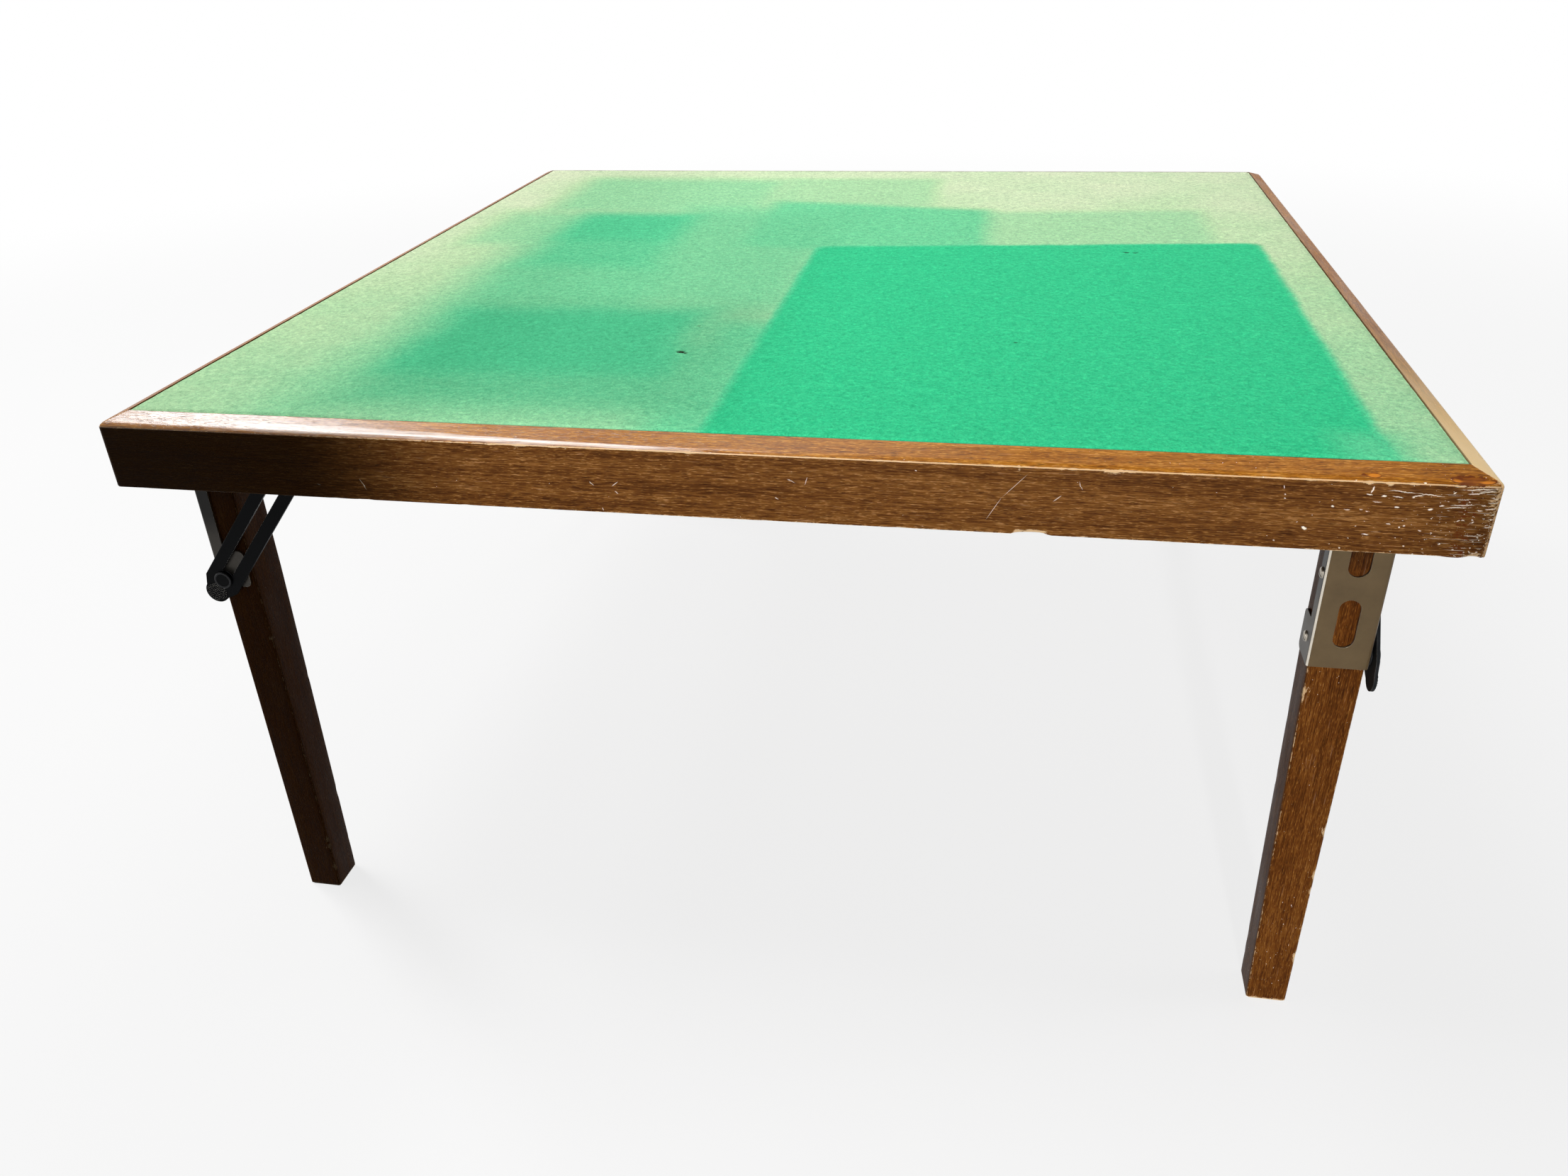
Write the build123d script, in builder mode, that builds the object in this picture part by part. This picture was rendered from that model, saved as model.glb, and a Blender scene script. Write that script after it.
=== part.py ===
from build123d import *
import math
import os

# Folding card table, millimetres, +Z up, the front towards -Y.
# The origin is on the floor, under the middle of the top.
# Each corner is the front left corner turned by a quarter, so that the four
# folded legs chase each other round the inside of the frame.

os.makedirs("parts", exist_ok=True)

# Whole table: the side of the square top, and the height of the felt
table_side = 790.0
table_height = 404.0

# Frame rails: an upright outer face, a border that is rounded over at its outer
# edge and then climbs evenly to the felt, and a rebate with a ledge for the board
rail_thickness = 22.0
rail_face_height = 40.0
border_width = 14.0
border_rise = 6.5
border_round = 3.0
border_round_rise = 2.4
frame_corner_radius = 3.0
rail_edge_radius = 1.0
border_edge_radius = 0.6

# Board and felt, let into the frame
board_thickness = 5.0
board_gap = 0.2
felt_thickness = 1.5
felt_gap = 0.6
felt_edge_radius = 0.5

# Pins that hold the board down on the ledge
pins_per_side = 6
pin_head_radius = 1.6
pin_head_thickness = 0.8
pin_shank_radius = 0.8
pin_length = 12.0

# Leg: a square bar that tapers towards the foot on its inner face. The gaps are
# those between its bracket and the two rails beside it.
web_side_gap = 3.5
stay_side_gap = 12.5
leg_depth = 25.0
leg_top_width = 31.0
leg_foot_width = 25.5
leg_edge_radius = 1.5
foot_chamfer = 1.0

# Leg pivot, placed so that this gap is left between board and leg
leg_top_gap = 6.5
pin_radius = 4.0
pin_cap_radius = 6.5
pin_cap_thickness = 2.4
pin_cap_round = 0.8
leg_spacer_radius = 7.0

# Leg bracket: a channel of folded sheet with two long slots in its web
bracket_thickness = 1.5
bracket_bend_radius = 2.0
bracket_inner_bend_radius = 0.5
bracket_strip = 9.5
web_top_drop = 4.4
web_slots = 2
web_slot_length = 31.0
web_slot_width = 11.6
web_slot_gap = 14.5
web_slot_margin = 13.8
ear_width = 23.2
ear_height = 27.0
ear_radius = 4.0
bracket_shoulder = 18.0

# Stud on the ear, which runs in the slot of the stay
stud_inset = 4.5
stud_rise = 6.5
stud_head_radius = 6.0
stud_head_thickness = 2.0
stud_head_round = 0.5
stud_ring_width = 1.1
stud_ring_depth = 0.4
stud_shank_radius = 3.6
stud_shoulder_radius = 5.5
stud_tail_radius = 3.0

# Slotted stay, which leans by this angle when the leg is down
stay_lean = 51.5
stay_width = 24.0
stay_thickness = 2.0
stay_slot_width = 7.4
stay_slot_spare = 8.0
stay_edge_radius = 0.4
stay_shoulder_reach = 5.0
stay_nose_radius = 8.2
stay_nose_reach = 12.5
grip_ridges = 9
grip_pitch = 1.4
grip_ridge_width = 0.6
grip_ridge_height = 0.5
grip_ridge_turn = -30
grip_width_share = 0.84
grip_stud_gap = 0.6

# Rivet and spacer at the upper end of the stay
rivet_shank_radius = 3.5
rivet_head_radius = 6.0
rivet_head_thickness = 0.8
rivet_head_round = 0.4
stay_spacer_radius = 6.0
stay_spacer_tail_radius = 3.0

# Hinge plate, screwed to the inner face of the rail
plate_thickness = 2.0
plate_corner_gap = 1.5
plate_overhang = 15.0
plate_top_gap = 4.0
plate_bottom_margin = 1.5
plate_corner_radius = 4.0
plate_screw_spread = 22.0
plate_screw_offset = 17.0

# Wood screws
screw_head_radius = 3.4
screw_core_radius = 1.5
screw_length = 14.0
screw_tip_length = 3.0
screw_slot_width = 0.9
screw_slot_depth = 0.9
screw_slot_turn = 35
bracket_screw_length = 13.0
bracket_screw_dome = 1.7
bracket_screw_dome_shares = (0.3, 0.55, 0.75, 0.9, 1)
bracket_screw_drop = 50.0

# Clearances
running_clearance = 0.05
fixed_clearance = 0.02
side_clearance = 0.1
joint_clearance = 0.3
cut_overrun = 1.0

quarter_turn = 90
corner_names = ("front_left", "front_right", "back_right", "back_left")
rail_names = ("front_rail", "right_rail", "back_rail", "left_rail")

# Heights and places that follow from the sizes above
half_side = table_side / 2
felt_top = table_height
board_top = felt_top - felt_thickness
ledge_height = board_top - board_thickness
border_low = felt_top - border_rise
rail_bottom = border_low - rail_face_height
ledge_width = rail_thickness - border_width

leg_left = rail_thickness + web_side_gap + bracket_thickness - half_side
leg_right = leg_left + leg_depth
leg_end_radius = leg_depth / 2
pivot_x = leg_left + leg_end_radius
pivot_z = ledge_height - leg_top_gap - leg_end_radius

# Depths are measured from the outer face of the front rail, inwards
plate_back = rail_thickness + plate_thickness
bracket_front = rail_thickness + stay_side_gap
leg_front = bracket_front + bracket_thickness
leg_back = leg_front + leg_top_width
bracket_back = leg_back + bracket_thickness
bracket_left = leg_left - bracket_thickness
web_slot_pitch = web_slot_length + web_slot_gap
web_length = web_slots * web_slot_pitch - web_slot_gap + 2 * web_slot_margin
web_top = pivot_z - web_top_drop
bracket_bottom = web_top - web_length

stud_x = leg_left + stud_inset
stud_z = bracket_bottom + stud_rise
stud_shoulder_thickness = bracket_thickness / 2
stud_shoulder_back = bracket_front - side_clearance
stud_shoulder_front = stud_shoulder_back - stud_shoulder_thickness
stay_back = stud_shoulder_front - side_clearance
stay_front = stay_back - stay_thickness
stud_head_back = stay_front - side_clearance
stud_head_front = stud_head_back - stud_head_thickness

# A quarter turn about the leg pivot carries the stud to its folded place. The
# stay then lies level, which sets the height of its own pivot.
folded_stud_x = pivot_x + (pivot_z - stud_z)
folded_stud_z = pivot_z + (stud_x - pivot_x)
stay_pivot_z = folded_stud_z
stay_reach = (stay_pivot_z - stud_z) / math.sin(math.radians(stay_lean))
stay_pivot_x = stud_x + stay_reach * math.cos(math.radians(stay_lean))
folded_reach = folded_stud_x - stay_pivot_x
stay_slot_start = folded_reach - stay_slot_spare

plate_left = rail_thickness + plate_corner_gap - half_side
plate_right = stay_pivot_x + plate_overhang
plate_top = ledge_height - plate_top_gap
plate_bottom = rail_bottom + plate_bottom_margin
plate_middle_z = (plate_top + plate_bottom) / 2

screw_head_height = screw_head_radius - screw_core_radius
plate_screw_places = [
    (x, plate_middle_z + side * plate_screw_spread / 2)
    for x in (pivot_x + plate_screw_offset, stay_pivot_x - plate_screw_offset)
    for side in (-1, 1)
]
bracket_screw_places = [
    (bracket_left + ear_width / 2, bracket_bottom + ear_height / 2),
    (bracket_left + bracket_strip / 2 + bracket_thickness / 2, pivot_z - bracket_screw_drop),
]


def upright(depth):
    """Upright plane at this depth behind the front face, seen from the front."""
    return Plane.XZ.offset(half_side - depth)


def turned(x, z, profile):
    """Round piece about a front to back axis, from (radius, depth) points."""
    with BuildPart() as piece:
        with BuildSketch(Plane(origin=(x, -half_side, z))):
            with BuildLine():
                Polyline(*profile, close=True)
            make_face()
        revolve(axis=Axis((x, 0, z), (0, 1, 0)))
    return piece


def save(piece, name):
    piece.part.label = name
    export_step(piece.part, f"parts/{name}.step")


def save_corners(piece, name):
    """Write the front left piece, and its copies at the other three corners."""
    for turn, corner in enumerate(corner_names):
        with BuildPart() as copy:
            add(piece.part, rotation=(0, 0, quarter_turn * turn))
        save(copy, f"{corner}_{name}")


# Places of the board pins, in the middle of the ledge
pin_line = half_side - border_width - ledge_width / 2
pin_pitch = 2 * pin_line / pins_per_side
pin_places = []
for turn in range(len(corner_names)):
    for number in range(pins_per_side):
        along = (number - (pins_per_side - 1) / 2) * pin_pitch
        place = Vector(along, -pin_line, 0).rotate(Axis.Z, quarter_turn * turn)
        pin_places.append((place.X, place.Y))

# Front rail, mitred at both ends, with its pilot holes
with BuildPart() as rail:
    with BuildSketch(Plane.YZ.offset(-half_side)) as section:
        with BuildLine():
            Polyline(
                (-half_side, border_low),
                (-half_side, rail_bottom),
                (rail_thickness - half_side, rail_bottom),
                (rail_thickness - half_side, ledge_height),
                (border_width - half_side, ledge_height),
                (border_width - half_side, felt_top),
                (border_round - half_side, border_low + border_round_rise),
            )
            TangentArc(
                (border_round - half_side, border_low + border_round_rise),
                (-half_side, border_low),
                tangent=(border_round - border_width, border_round_rise - border_rise),
            )
        make_face()
        fillet(section.vertices().group_by(Axis.Y)[0], rail_edge_radius)
        fillet(section.vertices().sort_by(Axis.Y)[-1], border_edge_radius)
    extrude(amount=table_side)
    with BuildSketch(Plane.XY.offset(rail_bottom)):
        with BuildLine():
            Polyline(
                (-half_side, -half_side),
                (half_side, -half_side),
                (half_side - rail_thickness, rail_thickness - half_side),
                (rail_thickness - half_side, rail_thickness - half_side),
                close=True,
            )
        make_face()
        RectangleRounded(table_side, table_side, frame_corner_radius, mode=Mode.INTERSECT)
    extrude(amount=felt_top - rail_bottom, mode=Mode.INTERSECT)
    with BuildSketch(upright(rail_thickness)):
        with Locations(*plate_screw_places):
            Circle(screw_core_radius + fixed_clearance)
    extrude(amount=screw_length - plate_thickness + fixed_clearance, mode=Mode.SUBTRACT)
    with BuildSketch(Plane.XY.offset(ledge_height)):
        with Locations(*[place for place in pin_places if place[1] < rail_thickness - half_side]):
            Circle(pin_shank_radius + fixed_clearance)
    extrude(amount=board_thickness - pin_length - fixed_clearance, mode=Mode.SUBTRACT)

for turn, name in enumerate(rail_names):
    with BuildPart() as rail_copy:
        add(rail.part, rotation=(0, 0, quarter_turn * turn))
    save(rail_copy, name)

# Board, with a seat for the head of each pin
board_side = table_side - 2 * (border_width + board_gap)
with BuildPart() as board:
    with BuildSketch(Plane.XY.offset(ledge_height)):
        Rectangle(board_side, board_side)
    extrude(amount=board_thickness)
    with BuildSketch(Plane.XY.offset(board_top)):
        with Locations(*pin_places):
            Circle(pin_shank_radius + fixed_clearance)
    extrude(amount=-board_thickness, mode=Mode.SUBTRACT)
    with BuildSketch(Plane.XY.offset(board_top)):
        with Locations(*pin_places):
            Circle(pin_head_radius + fixed_clearance)
    extrude(amount=-pin_head_thickness - fixed_clearance, mode=Mode.SUBTRACT)
save(board, "top_board")

# Felt, glued to the board
felt_side = table_side - 2 * (border_width + felt_gap)
with BuildPart() as felt:
    with BuildSketch(Plane.XY.offset(board_top)):
        Rectangle(felt_side, felt_side)
    extrude(amount=felt_thickness)
    fillet(felt.edges().group_by(Axis.Z)[-1], felt_edge_radius)
save(felt, "felt_top")

# Board pins, driven down into the ledge and flush with the board
with BuildPart() as board_pins:
    with BuildSketch(Plane.XY.offset(board_top)):
        with Locations(*pin_places):
            Circle(pin_shank_radius)
    extrude(amount=-pin_length)
    with BuildSketch(Plane.XY.offset(board_top)):
        with Locations(*pin_places):
            Circle(pin_head_radius)
    extrude(amount=-pin_head_thickness)
save(board_pins, "board_pins")

# Leg: rounded about its pivot at the top, tapered below the bracket
with BuildPart() as leg:
    with BuildSketch(upright(leg_back)):
        with BuildLine():
            Polyline((leg_left, pivot_z), (leg_left, 0), (leg_right, 0), (leg_right, pivot_z))
            ThreePointArc(
                (leg_right, pivot_z), (pivot_x, pivot_z + leg_end_radius), (leg_left, pivot_z)
            )
        make_face()
    extrude(amount=leg_top_width)
    with BuildSketch(Plane.YZ.offset(leg_left)):
        with BuildLine():
            Polyline(
                (leg_back - half_side, bracket_bottom),
                (leg_back - half_side, 0),
                (leg_front + leg_foot_width - half_side, 0),
                close=True,
            )
        make_face()
    extrude(amount=leg_depth, mode=Mode.SUBTRACT)
    fillet([edge for edge in leg.edges() if edge.length > 2 * leg_depth], leg_edge_radius)
    chamfer(leg.faces().sort_by(Axis.Z)[0].edges(), foot_chamfer)
    with BuildSketch(upright(leg_back)):
        with Locations((pivot_x, pivot_z)):
            Circle(pin_radius + running_clearance)
    extrude(amount=leg_top_width, mode=Mode.SUBTRACT)
    with BuildSketch(upright(leg_back)):
        with Locations(*bracket_screw_places):
            Circle(screw_core_radius + fixed_clearance)
    extrude(amount=bracket_screw_length - bracket_thickness + fixed_clearance, mode=Mode.SUBTRACT)
save_corners(leg, "leg")

# Leg bracket: a channel, cut to its side outline, slotted and drilled
with BuildPart() as bracket:
    with BuildSketch(Plane.XY.offset(bracket_bottom)):
        with BuildSketch(mode=Mode.ADD) as channel:
            with Locations((bracket_left, bracket_front - half_side)):
                Rectangle(
                    leg_depth + bracket_thickness,
                    bracket_back - bracket_front,
                    align=(Align.MIN, Align.MIN),
                )
            fillet(channel.vertices().group_by(Axis.X)[0], bracket_bend_radius)
        with BuildSketch(mode=Mode.SUBTRACT) as core:
            with Locations((leg_left, leg_front - half_side)):
                Rectangle(leg_depth + cut_overrun, leg_top_width, align=(Align.MIN, Align.MIN))
            fillet(core.vertices().group_by(Axis.X)[0], bracket_inner_bend_radius)
    extrude(amount=pivot_z + leg_end_radius - bracket_bottom)
    with BuildSketch(upright(bracket_back)) as side:
        with BuildLine():
            Polyline(
                (leg_left, pivot_z),
                (leg_left, web_top),
                (bracket_left, web_top),
                (bracket_left, bracket_bottom),
                (bracket_left + ear_width, bracket_bottom),
                (bracket_left + ear_width, bracket_bottom + ear_height),
                (bracket_left + bracket_strip, bracket_bottom + ear_height),
                (bracket_left + bracket_strip, pivot_z - leg_depth),
                (leg_right, pivot_z - leg_depth + bracket_shoulder),
                (leg_right, pivot_z),
            )
            ThreePointArc(
                (leg_right, pivot_z), (pivot_x, pivot_z + leg_end_radius), (leg_left, pivot_z)
            )
        make_face()
        ear_edge_x = bracket_left + ear_width
        ear_corners = [
            corner
            for corner in side.vertices()
            if corner.Y < bracket_bottom + ear_height + bracket_thickness
            and corner.X > ear_edge_x - bracket_thickness
        ]
        fillet(ear_corners, ear_radius)
    extrude(amount=bracket_back - bracket_front, mode=Mode.INTERSECT)
    with BuildSketch(Plane.YZ.offset(bracket_left)):
        for number in range(web_slots):
            slot_rise = web_slot_margin + web_slot_length / 2 + number * web_slot_pitch
            slot_middle = (bracket_front + bracket_back) / 2 - half_side
            with Locations((slot_middle, bracket_bottom + slot_rise)):
                SlotOverall(web_slot_length, web_slot_width, rotation=90)
    extrude(amount=bracket_thickness, mode=Mode.SUBTRACT)
    with BuildSketch(upright(bracket_back)):
        with Locations((pivot_x, pivot_z)):
            Circle(pin_radius + running_clearance)
    extrude(amount=bracket_back - bracket_front, mode=Mode.SUBTRACT)
    with BuildSketch(upright(leg_front)):
        with Locations((stud_x, stud_z)):
            Circle(stud_tail_radius + running_clearance)
    extrude(amount=bracket_thickness, mode=Mode.SUBTRACT)
    with BuildSketch(upright(bracket_back)):
        with Locations(*bracket_screw_places):
            Circle(screw_core_radius + fixed_clearance)
    extrude(amount=bracket_thickness, mode=Mode.SUBTRACT)
save_corners(bracket, "leg_bracket")


def wood_screws(places, face_depth, length, head_profile):
    """Slotted screws whose heads look inwards from this depth."""
    head_points = [(radius, face_depth + height) for radius, height in head_profile]
    head_top = max(depth for radius, depth in head_points)
    tip_depth = face_depth - length
    with BuildPart() as screws:
        for x, z in places:
            with BuildSketch(Plane(origin=(x, -half_side, z))):
                with BuildLine():
                    Polyline(
                        (0, head_points[0][1]),
                        *head_points,
                        (screw_core_radius, tip_depth + screw_tip_length),
                        (0, tip_depth),
                        close=True,
                    )
                make_face()
            revolve(axis=Axis((x, 0, z), (0, 1, 0)))
        with BuildSketch(upright(head_top)):
            with Locations(*places):
                Rectangle(2 * screw_head_radius, screw_slot_width, rotation=screw_slot_turn)
        extrude(amount=screw_slot_depth, mode=Mode.SUBTRACT)
    return screws


# Bracket screws, with domed heads on the inner side of the leg
dome_profile = [
    (screw_head_radius * share, bracket_screw_dome * math.sqrt(1 - share**2))
    for share in bracket_screw_dome_shares
]
bracket_screws = wood_screws(
    bracket_screw_places,
    bracket_back,
    bracket_screw_length,
    dome_profile + [(screw_core_radius, 0)],
)
save_corners(bracket_screws, "bracket_screws")

# Hinge screws, with flat heads let into the hinge plate
flat_profile = [
    (screw_head_radius, 0),
    (screw_core_radius, -screw_head_height),
]
hinge_screws = wood_screws(plate_screw_places, plate_back, screw_length, flat_profile)
save_corners(hinge_screws, "hinge_screws")

# Hinge plate on the inner face of the rail
with BuildPart() as plate:
    with BuildSketch(upright(plate_back)):
        with Locations(((plate_left + plate_right) / 2, plate_middle_z)):
            RectangleRounded(plate_right - plate_left, plate_top - plate_bottom, plate_corner_radius)
        with Locations((pivot_x, pivot_z)):
            Circle(pin_radius + fixed_clearance, mode=Mode.SUBTRACT)
        with Locations((stay_pivot_x, stay_pivot_z)):
            Circle(stay_spacer_tail_radius + fixed_clearance, mode=Mode.SUBTRACT)
    extrude(amount=plate_thickness)
    for x, z in plate_screw_places:
        with BuildSketch(Plane(origin=(x, -half_side, z))):
            with BuildLine():
                Polyline(
                    (0, plate_back),
                    (screw_head_radius + fixed_clearance, plate_back),
                    (screw_core_radius + fixed_clearance, plate_back - screw_head_height),
                    (screw_core_radius + fixed_clearance, rail_thickness),
                    (0, rail_thickness),
                    close=True,
                )
            make_face()
        revolve(axis=Axis((x, 0, z), (0, 1, 0)), mode=Mode.SUBTRACT)
save_corners(plate, "hinge_plate")

# Leg pin: fixed in the hinge plate, capped behind the inner side of the leg
cap_front = bracket_back + side_clearance
cap_back = cap_front + pin_cap_thickness
leg_pin = turned(
    pivot_x,
    pivot_z,
    [
        (0, rail_thickness),
        (pin_radius, rail_thickness),
        (pin_radius, cap_front),
        (pin_cap_radius, cap_front),
        (pin_cap_radius, cap_back - pin_cap_round),
        (pin_cap_radius - pin_cap_round, cap_back),
        (0, cap_back),
    ],
)
save_corners(leg_pin, "leg_pin")

# Spacer tube on the leg pin, between hinge plate and bracket
leg_spacer = turned(
    pivot_x,
    pivot_z,
    [
        (pin_radius + running_clearance, plate_back),
        (leg_spacer_radius, plate_back),
        (leg_spacer_radius, bracket_front - side_clearance),
        (pin_radius + running_clearance, bracket_front - side_clearance),
    ],
)
save_corners(leg_spacer, "leg_spacer")

# Spacer at the upper end of the stay, riveted into the hinge plate
stay_spacer = turned(
    stay_pivot_x,
    stay_pivot_z,
    [
        (0, rail_thickness),
        (stay_spacer_tail_radius, rail_thickness),
        (stay_spacer_tail_radius, plate_back),
        (stay_spacer_radius, plate_back),
        (stay_spacer_radius, stay_front - joint_clearance),
        (0, stay_front - joint_clearance),
    ],
)
save_corners(stay_spacer, "stay_spacer")

# Stud: ringed head, shank in the slot, shoulder and tail in the ear
stud = turned(
    stud_x,
    stud_z,
    [
        (0, stud_head_front + stud_ring_depth),
        (stud_head_radius - stud_ring_width, stud_head_front + stud_ring_depth),
        (stud_head_radius - stud_ring_width, stud_head_front),
        (stud_head_radius - stud_head_round, stud_head_front),
        (stud_head_radius, stud_head_front + stud_head_round),
        (stud_head_radius, stud_head_back),
        (stud_shank_radius, stud_head_back),
        (stud_shank_radius, stud_shoulder_front),
        (stud_shoulder_radius, stud_shoulder_front),
        (stud_shoulder_radius, stud_shoulder_back),
        (stud_tail_radius, stud_shoulder_back),
        (stud_tail_radius, leg_front - side_clearance),
        (0, leg_front - side_clearance),
    ],
)
save_corners(stud, "stud")

# Stay: its own X runs from its pivot to the stud
lean = math.radians(stay_lean)
stay_direction = (-math.cos(lean), 0, -math.sin(lean))
stay_plane = Plane(
    origin=(stay_pivot_x, stay_back - half_side, stay_pivot_z),
    x_dir=stay_direction,
    z_dir=(0, -1, 0),
)
half_stay = stay_width / 2
nose_x = stay_reach + stay_nose_reach
with BuildPart() as stay:
    with BuildSketch(stay_plane):
        with BuildLine():
            ThreePointArc((0, half_stay), (-half_stay, 0), (0, -half_stay))
            Polyline(
                (0, -half_stay),
                (stay_reach + stay_shoulder_reach, -half_stay),
                (nose_x, -stay_nose_radius),
            )
            ThreePointArc(
                (nose_x, -stay_nose_radius),
                (nose_x + stay_nose_radius, 0),
                (nose_x, stay_nose_radius),
            )
            Polyline(
                (nose_x, stay_nose_radius),
                (stay_reach + stay_shoulder_reach, half_stay),
                (0, half_stay),
            )
        make_face()
    extrude(amount=stay_thickness)
    fillet(stay.faces().sort_by(Axis.Y)[0].edges(), stay_edge_radius)
    with BuildSketch(stay_plane):
        with Locations(((stay_slot_start + stay_reach) / 2, 0)):
            SlotCenterToCenter(stay_reach - stay_slot_start, stay_slot_width)
        Circle(rivet_shank_radius + fixed_clearance)
    extrude(amount=stay_thickness, mode=Mode.SUBTRACT)
    with BuildSketch(stay_plane.offset(stay_thickness)):
        with Locations(Location((nose_x, 0, 0), (0, 0, grip_ridge_turn))):
            with GridLocations(grip_pitch, grip_pitch, 1, grip_ridges):
                Rectangle(2 * stay_nose_radius, grip_ridge_width)
        with Locations((nose_x, 0)):
            Circle(stay_nose_radius * grip_width_share, mode=Mode.INTERSECT)
        with Locations((stay_reach, 0)):
            Circle(stud_head_radius + grip_stud_gap, mode=Mode.SUBTRACT)
    extrude(amount=grip_ridge_height)
save_corners(stay, "stay")

# Stay rivet, headed behind the stay and flush with its front
rivet_head_back = stay_back + rivet_head_thickness
stay_rivet = turned(
    stay_pivot_x,
    stay_pivot_z,
    [
        (0, stay_front),
        (rivet_shank_radius, stay_front),
        (rivet_shank_radius, stay_back),
        (rivet_head_radius, stay_back),
        (rivet_head_radius - rivet_head_round, rivet_head_back),
        (0, rivet_head_back),
    ],
)
save_corners(stay_rivet, "stay_rivet")

print(f"leg pivot {pivot_x:.2f} {pivot_z:.2f}, stud {stud_x:.2f} {stud_z:.2f}")
print(f"stay pivot {stay_pivot_x:.2f} {stay_pivot_z:.2f}, reach {stay_reach:.2f} to {folded_reach:.2f}")
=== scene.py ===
# %% [markdown]
# # A folding card table
# The real thing is a square board under green felt, let into a frame of four stained
# rails, on four tapered legs that fold into the frame one after the other. The solids come
# from the CAD model. Blender gives them their looks: worn varnish, plated steel, black
# enamel and sun-bleached felt.

# %% Load the solids
import math
import random

import bmesh
import bpy
from mathutils import Matrix, Vector, noise


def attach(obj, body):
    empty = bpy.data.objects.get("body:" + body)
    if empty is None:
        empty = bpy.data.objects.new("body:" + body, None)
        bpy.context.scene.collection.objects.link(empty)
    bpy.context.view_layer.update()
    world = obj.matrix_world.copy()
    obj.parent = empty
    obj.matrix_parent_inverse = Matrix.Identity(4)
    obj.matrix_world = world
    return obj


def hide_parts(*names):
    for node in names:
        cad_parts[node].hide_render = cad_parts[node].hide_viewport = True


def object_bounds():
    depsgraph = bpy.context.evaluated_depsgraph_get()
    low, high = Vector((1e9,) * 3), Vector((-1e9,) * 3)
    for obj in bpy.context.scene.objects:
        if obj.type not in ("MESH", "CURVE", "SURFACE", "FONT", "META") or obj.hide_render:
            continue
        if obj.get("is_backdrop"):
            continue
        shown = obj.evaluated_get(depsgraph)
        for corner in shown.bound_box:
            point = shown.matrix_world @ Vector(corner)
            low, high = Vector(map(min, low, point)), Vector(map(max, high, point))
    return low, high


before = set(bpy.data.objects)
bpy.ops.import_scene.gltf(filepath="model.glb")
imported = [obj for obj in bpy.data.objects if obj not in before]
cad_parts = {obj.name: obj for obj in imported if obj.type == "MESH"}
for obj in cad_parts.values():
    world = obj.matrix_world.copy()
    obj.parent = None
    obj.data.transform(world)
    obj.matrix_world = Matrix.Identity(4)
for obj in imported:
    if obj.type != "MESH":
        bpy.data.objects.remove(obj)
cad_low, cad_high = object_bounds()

# %% [markdown]
# ## Sizes that the pieces share
# Blender works in metres. Wood and steel are measured in millimetres in a workshop, so
# the pieces below are written in millimetres and shrunk once, when their mesh is made.
# The front left corner and the front rail are the patterns. The other three are the
# same shape after quarter turns about the middle of the table.

# %% Shared sizes
mm = 0.001
table_half = 395.0
felt_height = 404.0
board_height = 402.5
ledge_height = 397.5
rail_bottom = 357.5
border_width = 14.0
rail_thickness = 22.0
corner_names = ("front_left", "front_right", "back_right", "back_left")
rail_names = ("front_rail", "right_rail", "back_rail", "left_rail")
quarter_turns = [Matrix.Rotation(math.radians(90 * turn), 4, "Z") for turn in range(4)]
print("corners", ", ".join(corner_names))

# %% [markdown]
# ## The camera
# The picture was taken standing close, a little to the right, looking down by about 29
# degrees. Its place was solved from the corners of the frame and the feet of the legs,
# so it is written as numbers. A camera looks along its own minus Z, so it is first
# stood upright, then tipped, turned and rolled.

# %% Camera
def new_object(name, data):
    """Put an object with this camera, lamp or mesh into the scene."""
    made = bpy.data.objects.new(name, data)
    bpy.context.scene.collection.objects.link(made)
    return made


camera_data = bpy.data.cameras.new("table_camera")
camera_data.sensor_width = 36.0
camera_data.lens = 27.976
camera = new_object("table_camera", camera_data)
bpy.context.scene.camera = camera
camera_place = Vector((0.148649, -1.001331, 0.661104))
camera_yaw = -0.1975
camera_pitch = 0.5105
camera_roll = -0.0354
camera.matrix_world = (
    Matrix.Translation(camera_place)
    @ Matrix.Rotation(-camera_yaw, 4, "Z")
    @ Matrix.Rotation(math.pi / 2 - camera_pitch, 4, "X")
    @ Matrix.Rotation(camera_roll, 4, "Z")
)
bpy.context.scene.view_settings.view_transform = "Standard"
print("camera", round(math.degrees(camera_pitch), 1), "degrees down")

# %% [markdown]
# ## Small helpers for node trees
# A finish is a small tree of nodes. Writing each node and link by hand takes many lines,
# so a few short functions add a node with its settings, do arithmetic with nodes or
# make noise. They add to the tree that was begun last.

# %% Node helpers
def begin_tree(owner):
    """Empty the node tree of a material or world. The helpers add to the last one begun."""
    global tree
    owner.use_nodes = True
    tree = owner.node_tree
    tree.nodes.clear()


def plug(socket, value):
    """Link another socket to this one, or set its number or colour."""
    if isinstance(value, bpy.types.NodeSocket):
        tree.links.new(value, socket)
    else:
        socket.default_value = value


def add_node(kind, inputs=None, **settings):
    """New node with these inputs, by name or number, and these settings."""
    made = tree.nodes.new("ShaderNode" + kind)
    for key, value in settings.items():
        setattr(made, key, value)
    for key, value in (inputs or {}).items():
        plug(made.inputs[key], value)
    return made


def math_of(operation, *values, clamp=False):
    made = add_node("Math", dict(enumerate(values)), operation=operation, use_clamp=clamp)
    return made.outputs[0]


def plus(*values):
    return math_of("ADD", *values)


def times(*values):
    return math_of("MULTIPLY", *values)


def times_plus(*values):
    """The first value times the second, plus the third."""
    return math_of("MULTIPLY_ADD", *values)


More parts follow.
